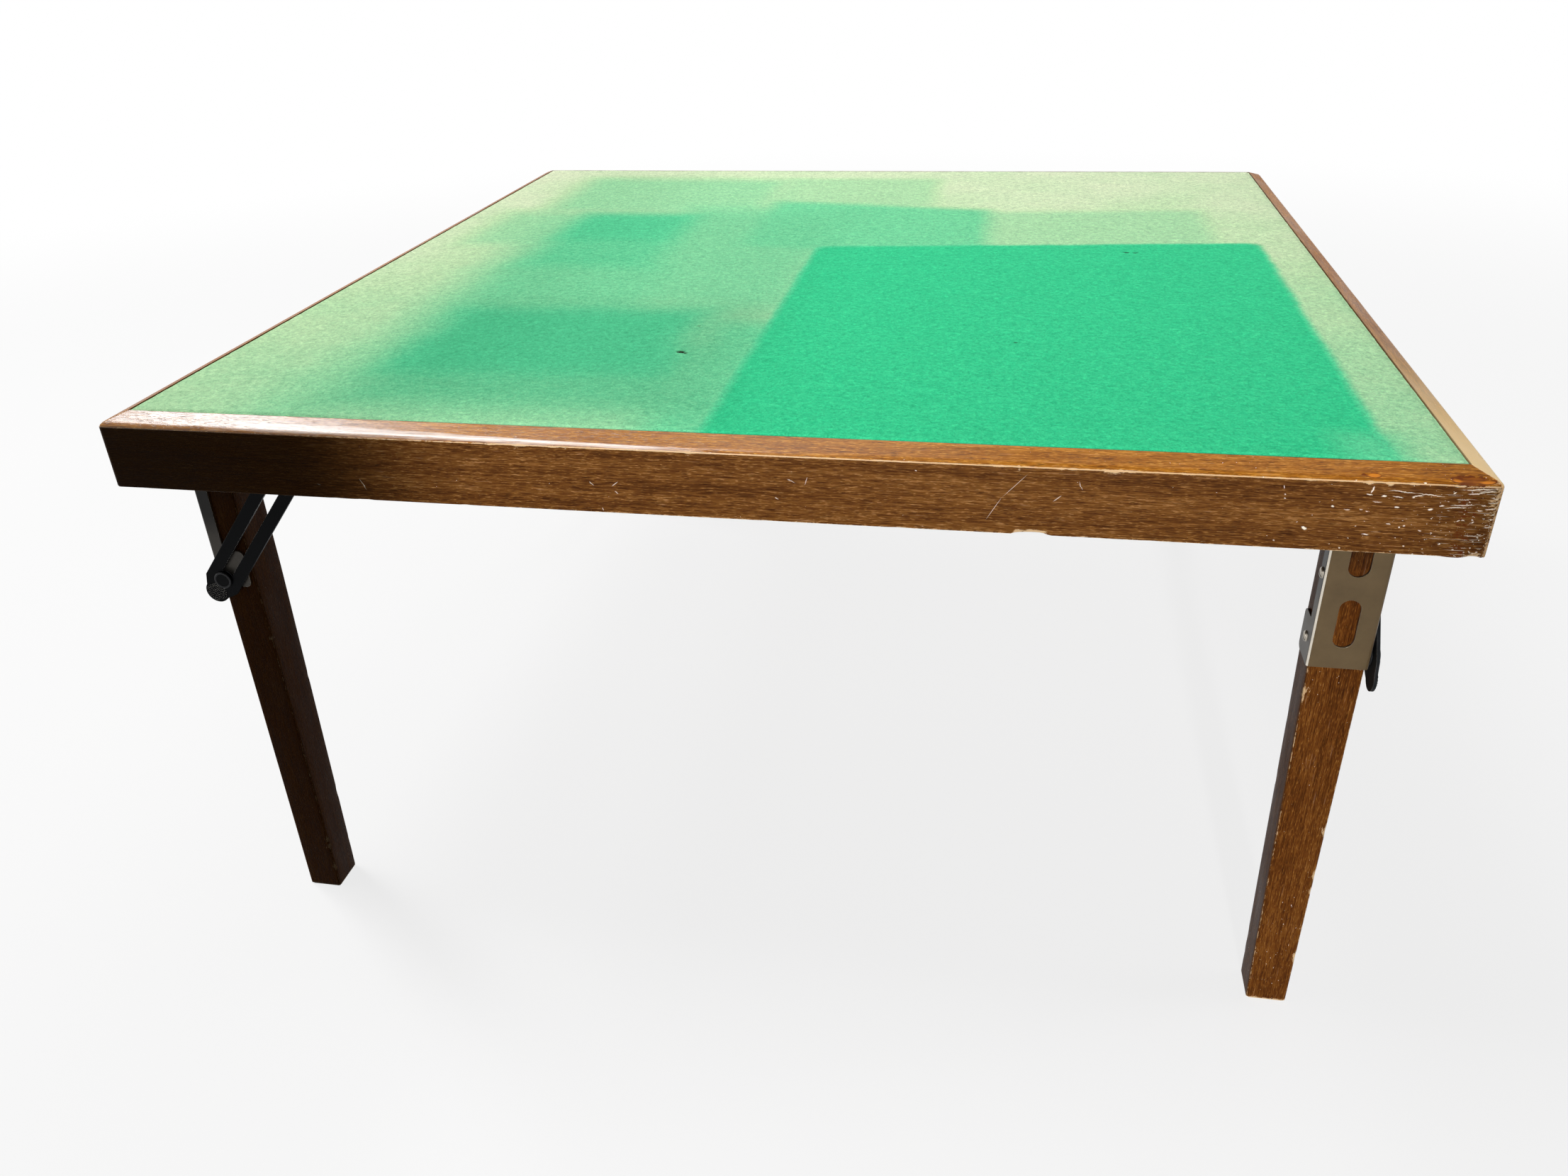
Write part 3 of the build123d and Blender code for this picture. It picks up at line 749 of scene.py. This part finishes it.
# %% Rail meshes
def stations(turn):
    """Places along a rail from -1 to 1."""
    fine_ends = [0, 0.4, 0.8, 1.3, 1.9, 2.6, 3.5, 5.0, 7.0, 10.0]
    places = [-table_half + end for end in fine_ends]
    place = -table_half + 14.0
    while place < table_half - 12.0:
        places.append(place)
        near_wear = turn == 0 and place > 318
        near_chips = turn == 0 and 145 < place < 222
        place += 1.5 if near_wear else 2.2 if near_chips else 4.2
    places += [table_half - end for end in reversed(fine_ends)]
    return [place / table_half for place in places]


left_end_radius, right_end_radius = 3.0, 4.2


def round_corner(x, y):
    """Draw the square end of a rail in to its worn, rounded shape."""
    centre = table_half - (right_end_radius if x > 0 else left_end_radius)
    over_x, over_y = abs(x) - centre, abs(y) - centre
    if over_x <= 0 or over_y <= 0:
        return x, y
    share = max(over_x, over_y) / math.hypot(over_x, over_y)
    new_x, new_y = centre + over_x * share, centre + over_y * share
    return math.copysign(new_x, x), math.copysign(new_y, y)


def outline_normals(points):
    """Outward directions in depth and height at each point of the outline."""
    normals = []
    for number, before in enumerate(points[-1:] + points[:-1]):
        after = points[(number + 1) % len(points)]
        run = (after[0] - before[0], after[1] - before[1])
        length = math.hypot(*run) or 1.0
        normals.append((-run[1] / length, run[0] / length))
    return normals


outward = outline_normals(outline)
on_border = [height > border_low - 0.5 and depth < border_width + 0.1 for depth, height in outline]
sheen_reach, left_end_shade_reach = 150.0, 110.0
highlight_from, highlight_to = -345.0, 10.0


def make_rail(turn):
    work, layers = new_work()
    rings = []
    for share in stations(turn):
        ring = []
        for (depth, height), (out_depth, out_height) in zip(outline, outward):
            x = share * (table_half - depth)
            inward, rise, bare, fresh, wear_and_glints = rail_wear(turn, x, depth, height)
            outside = depth < border_width - 0.2
            if not outside:
                inward = rise = 0.0
            gap = (1 - abs(share)) * table_half
            groove = 0.22 * hill(gap / 0.6) if outside else 0.0
            moved_depth = depth + inward - groove * out_depth
            moved_height = height + rise - groove * out_height
            side, front = round_corner(x, moved_depth - table_half)
            bare = max(bare, 0.62 * hill(gap / 1.2)) if outside else 0.0
            from_corner = x + table_half
            # painted sheen over the front end of the right rail's border, faint on its outer face
            painted_sheen = 0.93 * bell(from_corner / sheen_reach) if turn == 1 else 0.0
            if depth < 0.5 and height < border_low:
                painted_sheen *= 0.06
            # dirt in the joint between the border and the felt
            shade_and_soil_share = 0.7 if 13.4 < depth < 14.1 and height > 401 else 0.0
            # painted shade: the front face darkens towards its left end
            if turn == 0 and depth < 0.6 and height < border_low:
                shade_and_soil_share = 0.68 * bell(from_corner / left_end_shade_reach)
            # painted highlight along the front border's round-over, wide at the left end and
            # narrowing towards the middle
            painted_highlight = 0.0
            if turn == 0 and height > border_low - 0.1 and highlight_from < x < highlight_to:
                reach = 0.7 + 3.4 * min(1.0, abs(x) / 250) ** 1.3
                painted_highlight = hill((depth - reach) / reach / 1.15)
                painted_highlight *= min(1.0, (x - highlight_from) / 70, (highlight_to - x) / 60)
            values = (bare, fresh, wear_and_glints, 1.0 if outside else 0.0, painted_sheen, shade_and_soil_share, painted_highlight)
            ring.append(worn_vert(work, layers, turn, (side, front, moved_height), values))
        rings.append(ring)
    join_rings(work, rings, on_border)
    return finish_mesh(work, f"{rail_names[turn]}_wood", 50)


face_across = wood_finish("rail_face_front", 0, scratches=front_scratches)
face_back = wood_finish("rail_face_back", 0)
face_side = wood_finish("rail_face_side", 1)
border_across = wood_finish("rail_border_front", 0, tones=border_tones, gloss=0.20, shine=0.5)
border_side = wood_finish("rail_border_side", 1, tones=border_tones, gloss=0.30)
rail_finishes = (
    (face_across, border_across),
    (face_side, border_side),
    (face_back, border_across),
    (face_side, border_side),
)
for turn, (face_finish, border_finish) in enumerate(rail_finishes):
    rail = make_rail(turn)
    stand_in(rail, rail_names[turn], "table_top", "wood_frame", face_finish, border_finish)
    print(rail.name, len(rail.data.polygons), "faces")

# %% [markdown]
# ## The legs
# A leg is a square bar, 25 by 31 mm, that gets thinner towards its foot on the side that
# faces the next corner, and is rounded at the top so that it can turn under the board.
# Its long edges are rubbed through to pale wood in a thin broken line, and the feet are
# scuffed. The outline of each slice is a rectangle with soft corners, and the slices
# are carried from the foot to the top. The faces lie a hair inside the solid, because
# the steel bracket is wrapped tightly round them.

# %% Leg meshes
leg_front = -359.0
leg_top_width, leg_foot_width = 31.0, 25.5
taper_height = 270.0
pivot_x, pivot_height = -355.5, 378.5
leg_end_radius = 12.5
slice_gap = 4.0
leg_top_shade_start, leg_top_shade_over = 325.0, 22.0


def leg_slice(height, inset):
    """Left, right, front and back of the leg at a height."""
    half = leg_end_radius
    if height > pivot_height:
        half = math.sqrt(max(leg_end_radius**2 - (height - pivot_height) ** 2, 1.0))
    share = min(height / taper_height, 1.0)
    back = leg_front + leg_foot_width + (leg_top_width - leg_foot_width) * share
    return pivot_x - half + inset, pivot_x + half - inset, leg_front + inset, back - inset


def slice_points(left, right, front, back, radius):
    """Points round a rectangle with soft corners, and how near each is to an edge."""
    radius, steps = min(radius, (right - left) * 0.4), 4
    corners = ((right, front, -90), (right, back, 0), (left, back, 90), (left, front, 180))
    arcs = []
    for number, (x, y, start) in enumerate(corners):
        middle_x = x + (radius if x == left else -radius)
        middle_y = y + (radius if y == front else -radius)
        arc = []
        for step in range(steps + 1):
            angle = math.radians(start + 90 * step / steps)
            across, along = radius * math.cos(angle), radius * math.sin(angle)
            arc.append((middle_x + across, middle_y + along, 1 - abs(step / steps - 0.5), number))
        arcs.append(arc)
    points = []
    for arc, next_arc in zip(arcs, arcs[1:] + arcs[:1]):
        points += arc
        points += [(x, y, 0.0, -1) for x, y in evenly(arc[-1][:2], next_arc[0][:2], 4)]
    return points


def leg_chips(seed):
    pick = random.Random(seed)
    return [
        (pick.uniform(5, 255), pick.uniform(2, 6), pick.uniform(0.15, 0.4), pick.randrange(4))
        for _ in range(12)
    ]


def make_leg(turn):
    chips = leg_chips(40 + turn)
    work, layers = new_work()
    heights = [0.0, 0.5, 1.2, 2.5, 5.0] + [8 + slice_gap * step for step in range(93)]
    for angle in (20, 40, 55, 68, 78):
        heights.append(pivot_height + leg_end_radius * math.sin(math.radians(angle)))
    rings = []
    for height in heights:
        at_foot = hill(height / 1.3)
        ring = []
        left, right, front, back = leg_slice(height, 0.03 + 0.9 * at_foot)
        for x, y, near, edge in slice_points(left, right, front, back, 1.5):
            spot = Vector((x * 0.05, y * 0.05, height * 0.02)) + Vector((turn * 3.0, 0, 0))
            hollow = 0.10 * (0.5 + 0.5 * noise.noise(spot))
            bare = 0.0
            if near > 0:
                line = noise_at(edge * 7.0 + turn, height * 0.03, 4.0)
                bare = (0.55 + 0.25 * line) * near**6
            for place, half_length, deep, chipped in chips:
                if chipped == edge and abs(height - place) < half_length:
                    share = hill((height - place) / half_length) * near
                    hollow += deep * share
                    bare = max(bare, 1.05 * share)
            bare = max(bare, 0.9 * hill(height / 3.0))
            middle = Vector(((left + right) / 2, (front + back) / 2))
            toward = (middle - Vector((x, y))).normalized()
            wear_and_glints = 0.25 + 0.3 * hill(height / 120) + 0.2 * hill((height - 262) / 26)
            x, y = x + toward.x * hollow, y + toward.y * hollow
            # painted shade at the top of the leg, under the rail
            shade_and_soil_share = 0.72 * limited((height - leg_top_shade_start) / leg_top_shade_over)
            values = (min(bare, 1.0), 0.0, wear_and_glints, 1.0, 0.0, shade_and_soil_share, 0.0)
            ring.append(worn_vert(work, layers, turn, (x, y, height), values))
        rings.append(ring)
    join_rings(work, rings)
    return finish_mesh(work, f"{corner_names[turn]}_leg_wood", 50)


wood_leg = wood_finish("wood_leg", 2, tones=leg_tones)
for turn, corner in enumerate(corner_names):
    leg = make_leg(turn)
    stand_in(leg, f"{corner}_leg", f"{corner}_leg_body", "wood_leg", wood_leg)
    print(leg.name, len(leg.data.polygons), "faces")

# %% [markdown]
# ## Plated steel
# The brackets are folded from sheet about 1.5 mm thick and plated, and the plating has
# gone a brownish grey. Its life comes from very fine lines left by rolling and a slow
# cloudy change of gloss. The cut edges and the fold away from the ear are rubbed bright,
# and the side flanges are painted dark towards the top, as painted shade. A bevel
# gives every cut edge a narrow face of its own, and that face gets the bright finish.

# %% Steel finishes
# near black of painted shade on the side flanges
flange_shade_black = (0.012, 0.013, 0.015, 1)


def steel_finish(name, colour, gloss, lines_along=2, bare_metal=1.0, shaded_between=()):
    """Rolled steel, whose grey turns to near black between two heights, as painted shade, if those
    heights are given.
    """
    finish, shader, where = new_finish(name)
    lines = grain(where, lines_along, 0.040, 0.00022, detail=2.0)
    clouds = cloudy(where, 0.018, detail=4.0, roughness=0.6)
    spots = cloudy(where, 0.0016, detail=3.0, roughness=0.7)
    spots = stretch(spots, 0.64, 0.74)
    dark = tuple(part * 0.85 for part in colour)
    light = tuple(min(part * 1.12, 1.0) for part in colour)
    base = ramp(full_range(clouds), [(0.0, dark), (0.5, colour), (1.0, light)])
    stain = (colour[0] * 0.5, colour[1] * 0.4, colour[2] * 0.3, 1)
    base = mix(times(spots, 0.35), base, stain)
    if shaded_between:
        height = add_node("SeparateXYZ", {0: where}).outputs[2]
        share = stretch(height, *shaded_between, 0.0, 0.85, smooth=True)
        base = mix(share, base, flange_shade_black)
    shader.inputs["Metallic"].default_value = bare_metal
    rough = full_range(clouds, gloss - 0.06, gloss + 0.06)
    rough = times_plus(spots, 0.2, rough)
    height = times_plus(spots, -0.5, lines)
    dress(shader, base, rough, 0.15, 0.16, 0.00004, height)
    return finish


plated_steel = steel_finish("plated_steel", (0.118, 0.080, 0.040), 0.40, bare_metal=0.15)
# steel of the side flanges, darkened towards the top as painted shade
shaded_flange_steel = steel_finish(
    "shaded_flange_steel", (0.200, 0.180, 0.155), 0.40, bare_metal=0.15, shaded_between=(0.300, 0.326)
)
rubbed_edge = steel_finish("rubbed_edge", (0.72, 0.66, 0.56), 0.22)
screw_metal = steel_finish("screw_metal", (0.42, 0.38, 0.32), 0.30)
pin_metal = steel_finish("pin_metal", (0.38, 0.36, 0.33), 0.28, lines_along=1)
print("steel finishes made")


def softened(node, ending, body, slot_name, width, finish, edge_finish):
    """Stand-in for a solid whose cut edges have a narrow rounded face of another finish."""
    work = bmesh.new()
    work.from_mesh(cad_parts[node].data)
    bmesh.ops.remove_doubles(work, verts=work.verts, dist=1e-6)
    nearly_flat = math.radians(0.5)
    bmesh.ops.dissolve_limit(work, angle_limit=nearly_flat, verts=work.verts, edges=work.edges)
    piece = smooth_piece(work, f"{node}_{ending}")
    bevel = piece.modifiers.new("edges", "BEVEL")
    bevel.width = width
    bevel.segments = 2
    bevel.limit_method = "ANGLE"
    bevel.angle_limit = math.radians(35)
    bevel.material = 1
    level = piece.modifiers.new("flat_faces", "WEIGHTED_NORMAL")
    level.weight = 100
    level.keep_sharp = True
    stand_in(piece, node, body, slot_name, finish, edge_finish)
    return piece


plate_edge_width = 0.00055
for turn, corner in enumerate(corner_names):
    rubbed_fold = quarter_turns[turn] @ Vector((-1, 1, 0)).normalized()
    flange_way = quarter_turns[turn] @ Vector((0, 1, 0))
    for part, body, slot_name in (
        ("leg_bracket", f"{corner}_leg_body", "bracket_steel"),
        ("hinge_plate", "table_top", "plate_steel"),
    ):
        node = f"{corner}_{part}"
        edge = (plate_edge_width, plated_steel, rubbed_edge)
        piece = softened(node, "sheet", body, slot_name, *edge)
        # third finish, for the side flanges, with painted shade towards the top
        piece.data.materials.append(shaded_flange_steel)
        for face in piece.data.polygons if part == "leg_bracket" else ():
            if face.normal.dot(rubbed_fold) > 0.93:
                face.material_index = 1
            elif abs(face.normal.dot(flange_way)) > 0.8:
                face.material_index = 2
print("brackets and hinge plates softened")

# %% [markdown]
# ## Black enamel
# The stays and their studs are stamped from thicker steel and stove enamelled black. The
# enamel is nearly matt and has gone dusty, and it is rubbed through to thin bright lines
# on the long edges. The ridges of the thumb grip are part of the solid.

# %% Black stays and studs
chip_grey = (0.16, 0.15, 0.14, 1)


def enamel_finish(name, colour, gloss):
    finish, shader, where = new_finish(name)
    grit = cloudy(where, 0.0009, detail=3.0, roughness=0.65)
    clouds = cloudy(where, 0.014, detail=3.0)
    dusty = tuple(part * 2.6 + 0.004 for part in colour)
    base = ramp(stretch(clouds, 0.35, 0.75), [(0.0, colour), (1.0, dusty)])
    chipped = stretch(grit, 0.70, 0.76)
    base = mix(times(chipped, 0.5), base, chip_grey)
    rough = full_range(clouds, gloss, gloss + 0.16)
    dress(shader, base, rough, 0.05, 0.25, 0.00008, grit)
    return finish


black_enamel = enamel_finish("black_enamel", (0.0065, 0.0070, 0.0078), 0.36)
worn_edge = steel_finish("worn_edge", (0.80, 0.76, 0.70), 0.42)
dull_edge = steel_finish("dull_edge", (0.050, 0.050, 0.052), 0.34)
stay_edge, stud_edge = (0.00027, worn_edge), (0.00016, dull_edge)
for corner in corner_names:
    for part, (width, edge) in (("stay", stay_edge), ("stud", stud_edge)):
        node = f"{corner}_{part}"
        softened(node, "black", f"{node}_body", "black_steel", width, black_enamel, edge)
print("stays and studs made")

# %% [markdown]
# ## Small turned parts
# Pins, spacers, rivets and screws keep their solids, whose shapes are already
# right, and only get finishes of their own. The finish goes into the slot that each
# solid brought with it.

# %% Finishes on the turned parts
def finish_solid(node, finish):
    """Put a finish into the slots that the solid brought with it."""
    for material_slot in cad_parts[node].material_slots:
        material_slot.material = finish


turned_finishes = {
    "stay_rivet": pin_metal,
    "leg_pin": pin_metal,
    "leg_spacer": pin_metal,
    "stay_spacer": pin_metal,
    "hinge_screws": screw_metal,
    "bracket_screws": screw_metal,
}
for corner in corner_names:
    for part, finish in turned_finishes.items():
        finish_solid(f"{corner}_{part}", finish)
finish_solid("board_pins", pin_metal)
print(len(turned_finishes) * len(corner_names) + 1, "solids given metal finishes")

# %% [markdown]
# ## The board
# From below, the board shows bare plywood: pale brown, with the wide wandering bands of
# peeled veneer and a few dark flecks. Waves of noise bent by more noise give such bands.

# %% Board finish
fleck_brown = (0.13, 0.07, 0.03, 1)


def plywood_finish(name):
    finish, shader, where = new_finish(name)
    warp = cloudy(where, (0.30, 0.09, 0.09), detail=3.0)
    moved = add_node("Mapping", {"Vector": where, "Scale": (1.2, 7.0, 7.0)})
    bent = add_node("VectorMath", {0: moved.outputs[0], 1: warp}, operation="ADD")
    waves = {"Vector": bent.outputs[0], "Scale": 1.4, "Distortion": 5.0, "Detail": 3.0}
    bands = add_node("TexWave", waves, bands_direction="Y").outputs[0]
    fibres = grain(where, 0, 0.030, 0.0010, detail=3.0)
    flecks = stretch(grain(where, 0, 0.007, 0.0006), 0.64, 0.72)
    tone = times_plus(fibres, 0.6, times(bands, 0.4))
    stops = [(0.15, (0.25, 0.155, 0.080)), (0.5, (0.40, 0.27, 0.15)), (0.85, (0.50, 0.36, 0.21))]
    colour = ramp(tone, stops)
    colour = mix(times(flecks, 0.5), colour, fleck_brown)
    rough = full_range(fibres, 0.62, 0.80)
    dress(shader, colour, rough, 0.5, 0.3, 0.0002, fibres)
    return finish


bare_plywood = plywood_finish("bare_plywood")
finish_solid("top_board", bare_plywood)
print("board finished")

# %% [markdown]
# ## How the felt has faded
# The felt was emerald green. Light has bleached most of it towards straw, except where
# things stood on it for years. Each of those left a patch with soft edges: a strong one
# on the right, near the front, and fainter ones that overlap on the left and at the
# back. Each patch is a rounded four-sided shape, given by its edges, the softness of
# its outline and how far the cloth inside has faded, so its history is a short list.
# Two more such shapes make the cloth darker.

# %% Felt finish
emerald = (0.024, 0.640, 0.284)
leaf_green = (0.115, 0.700, 0.345)
pale_green = (0.320, 0.745, 0.395)
lime_straw = (0.580, 0.825, 0.475)
straw = (0.830, 0.910, 0.630)
faded_greens = (emerald, leaf_green, pale_green, lime_straw, straw)
fade_stops = list(zip((0.0, 0.3, 0.55, 0.78, 1.0), faded_greens))
pit_brown = (0.020, 0.012, 0.007, 1)
# left, right, front and back edges, softness, how faded inside, slope of the front and back
felt_patches = [
    (-92, 66, 205, 336, 14, 0.68, 0.0),
    (-316, -92, 165, 333, 26, 0.58, -0.03),
    (123, 312, 40, 189, 13, 0.655, 0.08),
    (-345, -262, 35, 165, 26, 0.60, 0.0),
    (-290, -22, -370, 150, 32, 0.51, 0.0),
    (-160, -12, -140, 190, 34, 0.45, 0.0),
    (-88, 123, 30, 207, 14, 0.39, -0.15),
    (-265, -128, -185, -20, 22, 0.41, 0.0),
    (-256, -40, -350, -235, 30, 0.36, 0.0),
    (-263, -148, -35, 163, 22, 0.34, 0.0),
    (-258, -165, 62, 150, 26, 0.27, 0.0),
    (-254, -72, -290, -156, 28, 0.23, 0.06),
    (-58, 30, -400, -175, 20, 0.37, 0.0),
    (-20, 346, -400, 58, 5, 0.05, 0.084),
    (322, 352, -440, -345, 14, 0.30, 0.0),
]
# the same, where the cloth is darker, with the share of its brightness that is left
darker_patches = [
    (-262, -8, -372, 165, 42, 0.91, 0.0),
    (-256, -30, -352, -135, 34, 0.87, 0.0),
]


def soft_patch(x, y, left, right, front, back, softness, slope):
    """1 inside a four-sided patch in millimetres, 0 outside, with a soft edge."""
    middle_x, middle_y = (left + right) / 2, (front + back) / 2
    from_x = math_of("SUBTRACT", x, middle_x * mm)
    from_y = math_of("SUBTRACT", y, middle_y * mm)
    from_y = times_plus(from_x, -slope, from_y)
    past_x = math_of("SUBTRACT", math_of("ABSOLUTE", from_x), (right - left) / 2 * mm)
    past_y = math_of("SUBTRACT", math_of("ABSOLUTE", from_y), (back - front) / 2 * mm)
    past = math_of("SMOOTH_MAX", past_x, past_y, 0.02)
    return stretch(past, -softness * mm, softness * mm, 1.0, 0.0, smooth=True)


def felt_finish(name):
    """Felt that fades from 0, as new, to 1, gone to straw, with painted sheen that makes it paler
    towards the back.
    """
    finish, shader, where = new_finish(name)
    parts = add_node("SeparateXYZ", {0: where})
    wander = cloudy(where, 0.03, detail=4.0, roughness=0.65)
    wander = stretch(wander, 0.2, 0.8, -0.002, 0.002)
    x = plus(parts.outputs[0], wander)
    y = plus(parts.outputs[1], wander)
    # paler towards the back: painted sheen of the nap seen at a low angle
    toward_back = stretch(y, -0.38, 0.38, 0.0, 0.30)
    toward_right = stretch(x, -0.05, 0.15, 0.0, 0.04)
    left_margin = stretch(x, -0.38, -0.24, 0.09, 0.0, smooth=True)
    fade_and_sheen = plus(plus(toward_back, toward_right), left_margin)
    clouds = cloudy(where, 0.085, detail=3.0)
    fade_and_sheen = plus(fade_and_sheen, stretch(clouds, 0.25, 0.75, 0.53, 0.65))
    for *edges, level, slope in felt_patches:
        share = soft_patch(x, y, *edges, slope)
        fade_and_sheen = add_node("Mix", {0: share, 2: fade_and_sheen, 3: level}, data_type="FLOAT").outputs[0]
    swirl = cloudy(where, 0.015, detail=3.0, roughness=0.6, distortion=2.2)
    nap = cloudy(where, 0.0032, detail=4.0, roughness=0.65, distortion=0.7)
    fuzz = cloudy(where, 0.0011, detail=3.0, roughness=0.7, distortion=0.5)
    fade_and_sheen = plus(fade_and_sheen, stretch(nap, 0.25, 0.75, -0.06, 0.06))
    fade_and_sheen = math_of("ADD", fade_and_sheen, 0.0, clamp=True)
    colour = ramp(fade_and_sheen, fade_stops)
    shade = times_plus(nap, 0.5, times(fuzz, 0.5))
    shade = stretch(shade, 0.34, 0.66, 0.68, 1.20)
    shade = times(shade, full_range(swirl, 0.94, 1.07))
    for *edges, left_over, slope in darker_patches:
        share = soft_patch(x, y, *edges, slope)
        shade = times(shade, stretch(share, 0.0, 1.0, 1.0, left_over))
    grey = add_node("CombineColor", {0: shade, 1: shade, 2: shade}).outputs[0]
    colour = mix(1.0, colour, grey, way="MULTIPLY")
    colour = mix(stored("pit"), colour, pit_brown)
    shader.inputs["Sheen Weight"].default_value = 0.03
    shader.inputs["Sheen Roughness"].default_value = 0.5
    height = times_plus(fuzz, 0.5, nap)
    dress(shader, colour, 0.95, 0.06, 0.8, 0.0010, height)
    return finish


faded_baize = felt_finish("faded_baize")
print(len(felt_patches), "patches in the felt")

# %% [markdown]
# ## The felt
# The felt is one sheet, 760.8 mm square, glued to the board. Its nap makes it slightly
# uneven, its edges roll over and are a little ragged, and moths have eaten a few small
# pits. The lines of the grid are 3.8 mm apart, and 0.8 mm apart where a pit has to be
# shaped.

# %% Felt mesh
felt_half = 380.4
wide_gap, fine_gap, least_gap = 3.8, 0.8, 0.35
# middle x, middle y, radius, depth, in millimetres
felt_pits = [
    (-67.5, -243.0, 3.4, 1.3),
    (-64.0, -245.0, 2.2, 1.0),
    (237.0, 38.6, 3.0, 1.1),
    (244.0, 37.6, 2.6, 1.0),
    (151.5, -205.0, 1.9, 1.0),
    (-69.0, -186.0, 1.5, 0.8),
    (-300.0, 197.0, 1.6, 0.8),
]


def grid_lines(centres):
    """Places across the felt, closer together near each pit and at the edges."""
    lines = {round(-felt_half + number * wide_gap, 3) for number in range(1, 200)}
    for centre in centres:
        lines.update(round(centre + fine_gap * step, 3) for step in range(-5, 6))
    lines.update(side * (felt_half - inset) for side in (-1, 1) for inset in (0.0, 0.5, 1.1, 1.9))
    ordered = []
    for line in sorted(lines):
        if not ordered or line - ordered[-1] > least_gap:
            ordered.append(line)
    ordered[-1] = felt_half
    return ordered


def felt_surface(x, y):
    """Height of the felt and how deep a point is in a pit."""
    spot = Vector((x * 0.11, y * 0.11, 0.0))
    height = felt_height + 0.12 + 0.16 * noise.noise(spot) + 0.12 * noise.noise(spot * 0.16)
    height += 0.10 * noise.noise(spot * 2.7)
    to_edge = felt_half - max(abs(x), abs(y))
    height -= 0.75 * hill((to_edge + 0.2) / 2.2)
    pit = 0.0
    for middle_x, middle_y, radius, deep in felt_pits:
        off = math.hypot(x - middle_x, y - middle_y) / radius
        off += 0.25 * noise_at(x, y, 3.0)
        pit = max(pit, hill(off) * deep)
    return height - pit, min(1.0, pit * 1.1)


def make_felt():
    work = bmesh.new()
    layer = work.verts.layers.float.new("pit")
    across = grid_lines([pit[0] for pit in felt_pits])
    deep = grid_lines([pit[1] for pit in felt_pits])
    rows = []
    for y in deep:
        row = []
        for x in across:
            height, pit = felt_surface(x, y)
            ragged = 0.28 * noise_at(x * 0.35, y * 0.35, 9.0)
            place = [
                (part + math.copysign(ragged - 0.1 if abs(part) == felt_half else 0.0, part)) * mm
                for part in (x, y)
            ]
            vert = work.verts.new((*place, height * mm))
            vert[layer] = pit
            row.append(vert)
        rows.append(row)
    for first, second in zip(rows, rows[1:]):
        for number in range(len(across) - 1):
            work.faces.new((first[number], first[number + 1], second[number + 1], second[number]))
    rim = rows[0][:-1] + [row[-1] for row in rows[:-1]]
    rim += list(reversed(rows[-1][1:])) + [row[0] for row in reversed(rows[1:])]
    bottom = (board_height + 0.02) * mm
    lower = [work.verts.new((vert.co.x, vert.co.y, bottom)) for vert in rim]
    for number, vert in enumerate(rim):
        after = (number + 1) % len(rim)
        work.faces.new((vert, lower[number], lower[after], rim[after]))
    work.faces.new(lower)
    return finish_mesh(work, "felt_sheet", 60)


felt = make_felt()
stand_in(felt, "felt_top", "table_top", "baize", faded_baize)
print("felt", len(felt.data.polygons), "faces,", len(felt_pits), "pits")

# %% [markdown]
# ## Sizes
# The sizes of the solids and of the looks are printed side by side. The looks may not
# make the table bigger than its solids.

# %% Sizes of the solids and of the looks
seen_low, seen_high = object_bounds()
boxes = {
    "cad": [list(cad_low), list(cad_high)],
    "visual": [list(seen_low), list(seen_high)],
}
for name, (low, high) in boxes.items():
    print(name, [round(b - a, 4) for a, b in zip(low, high)])
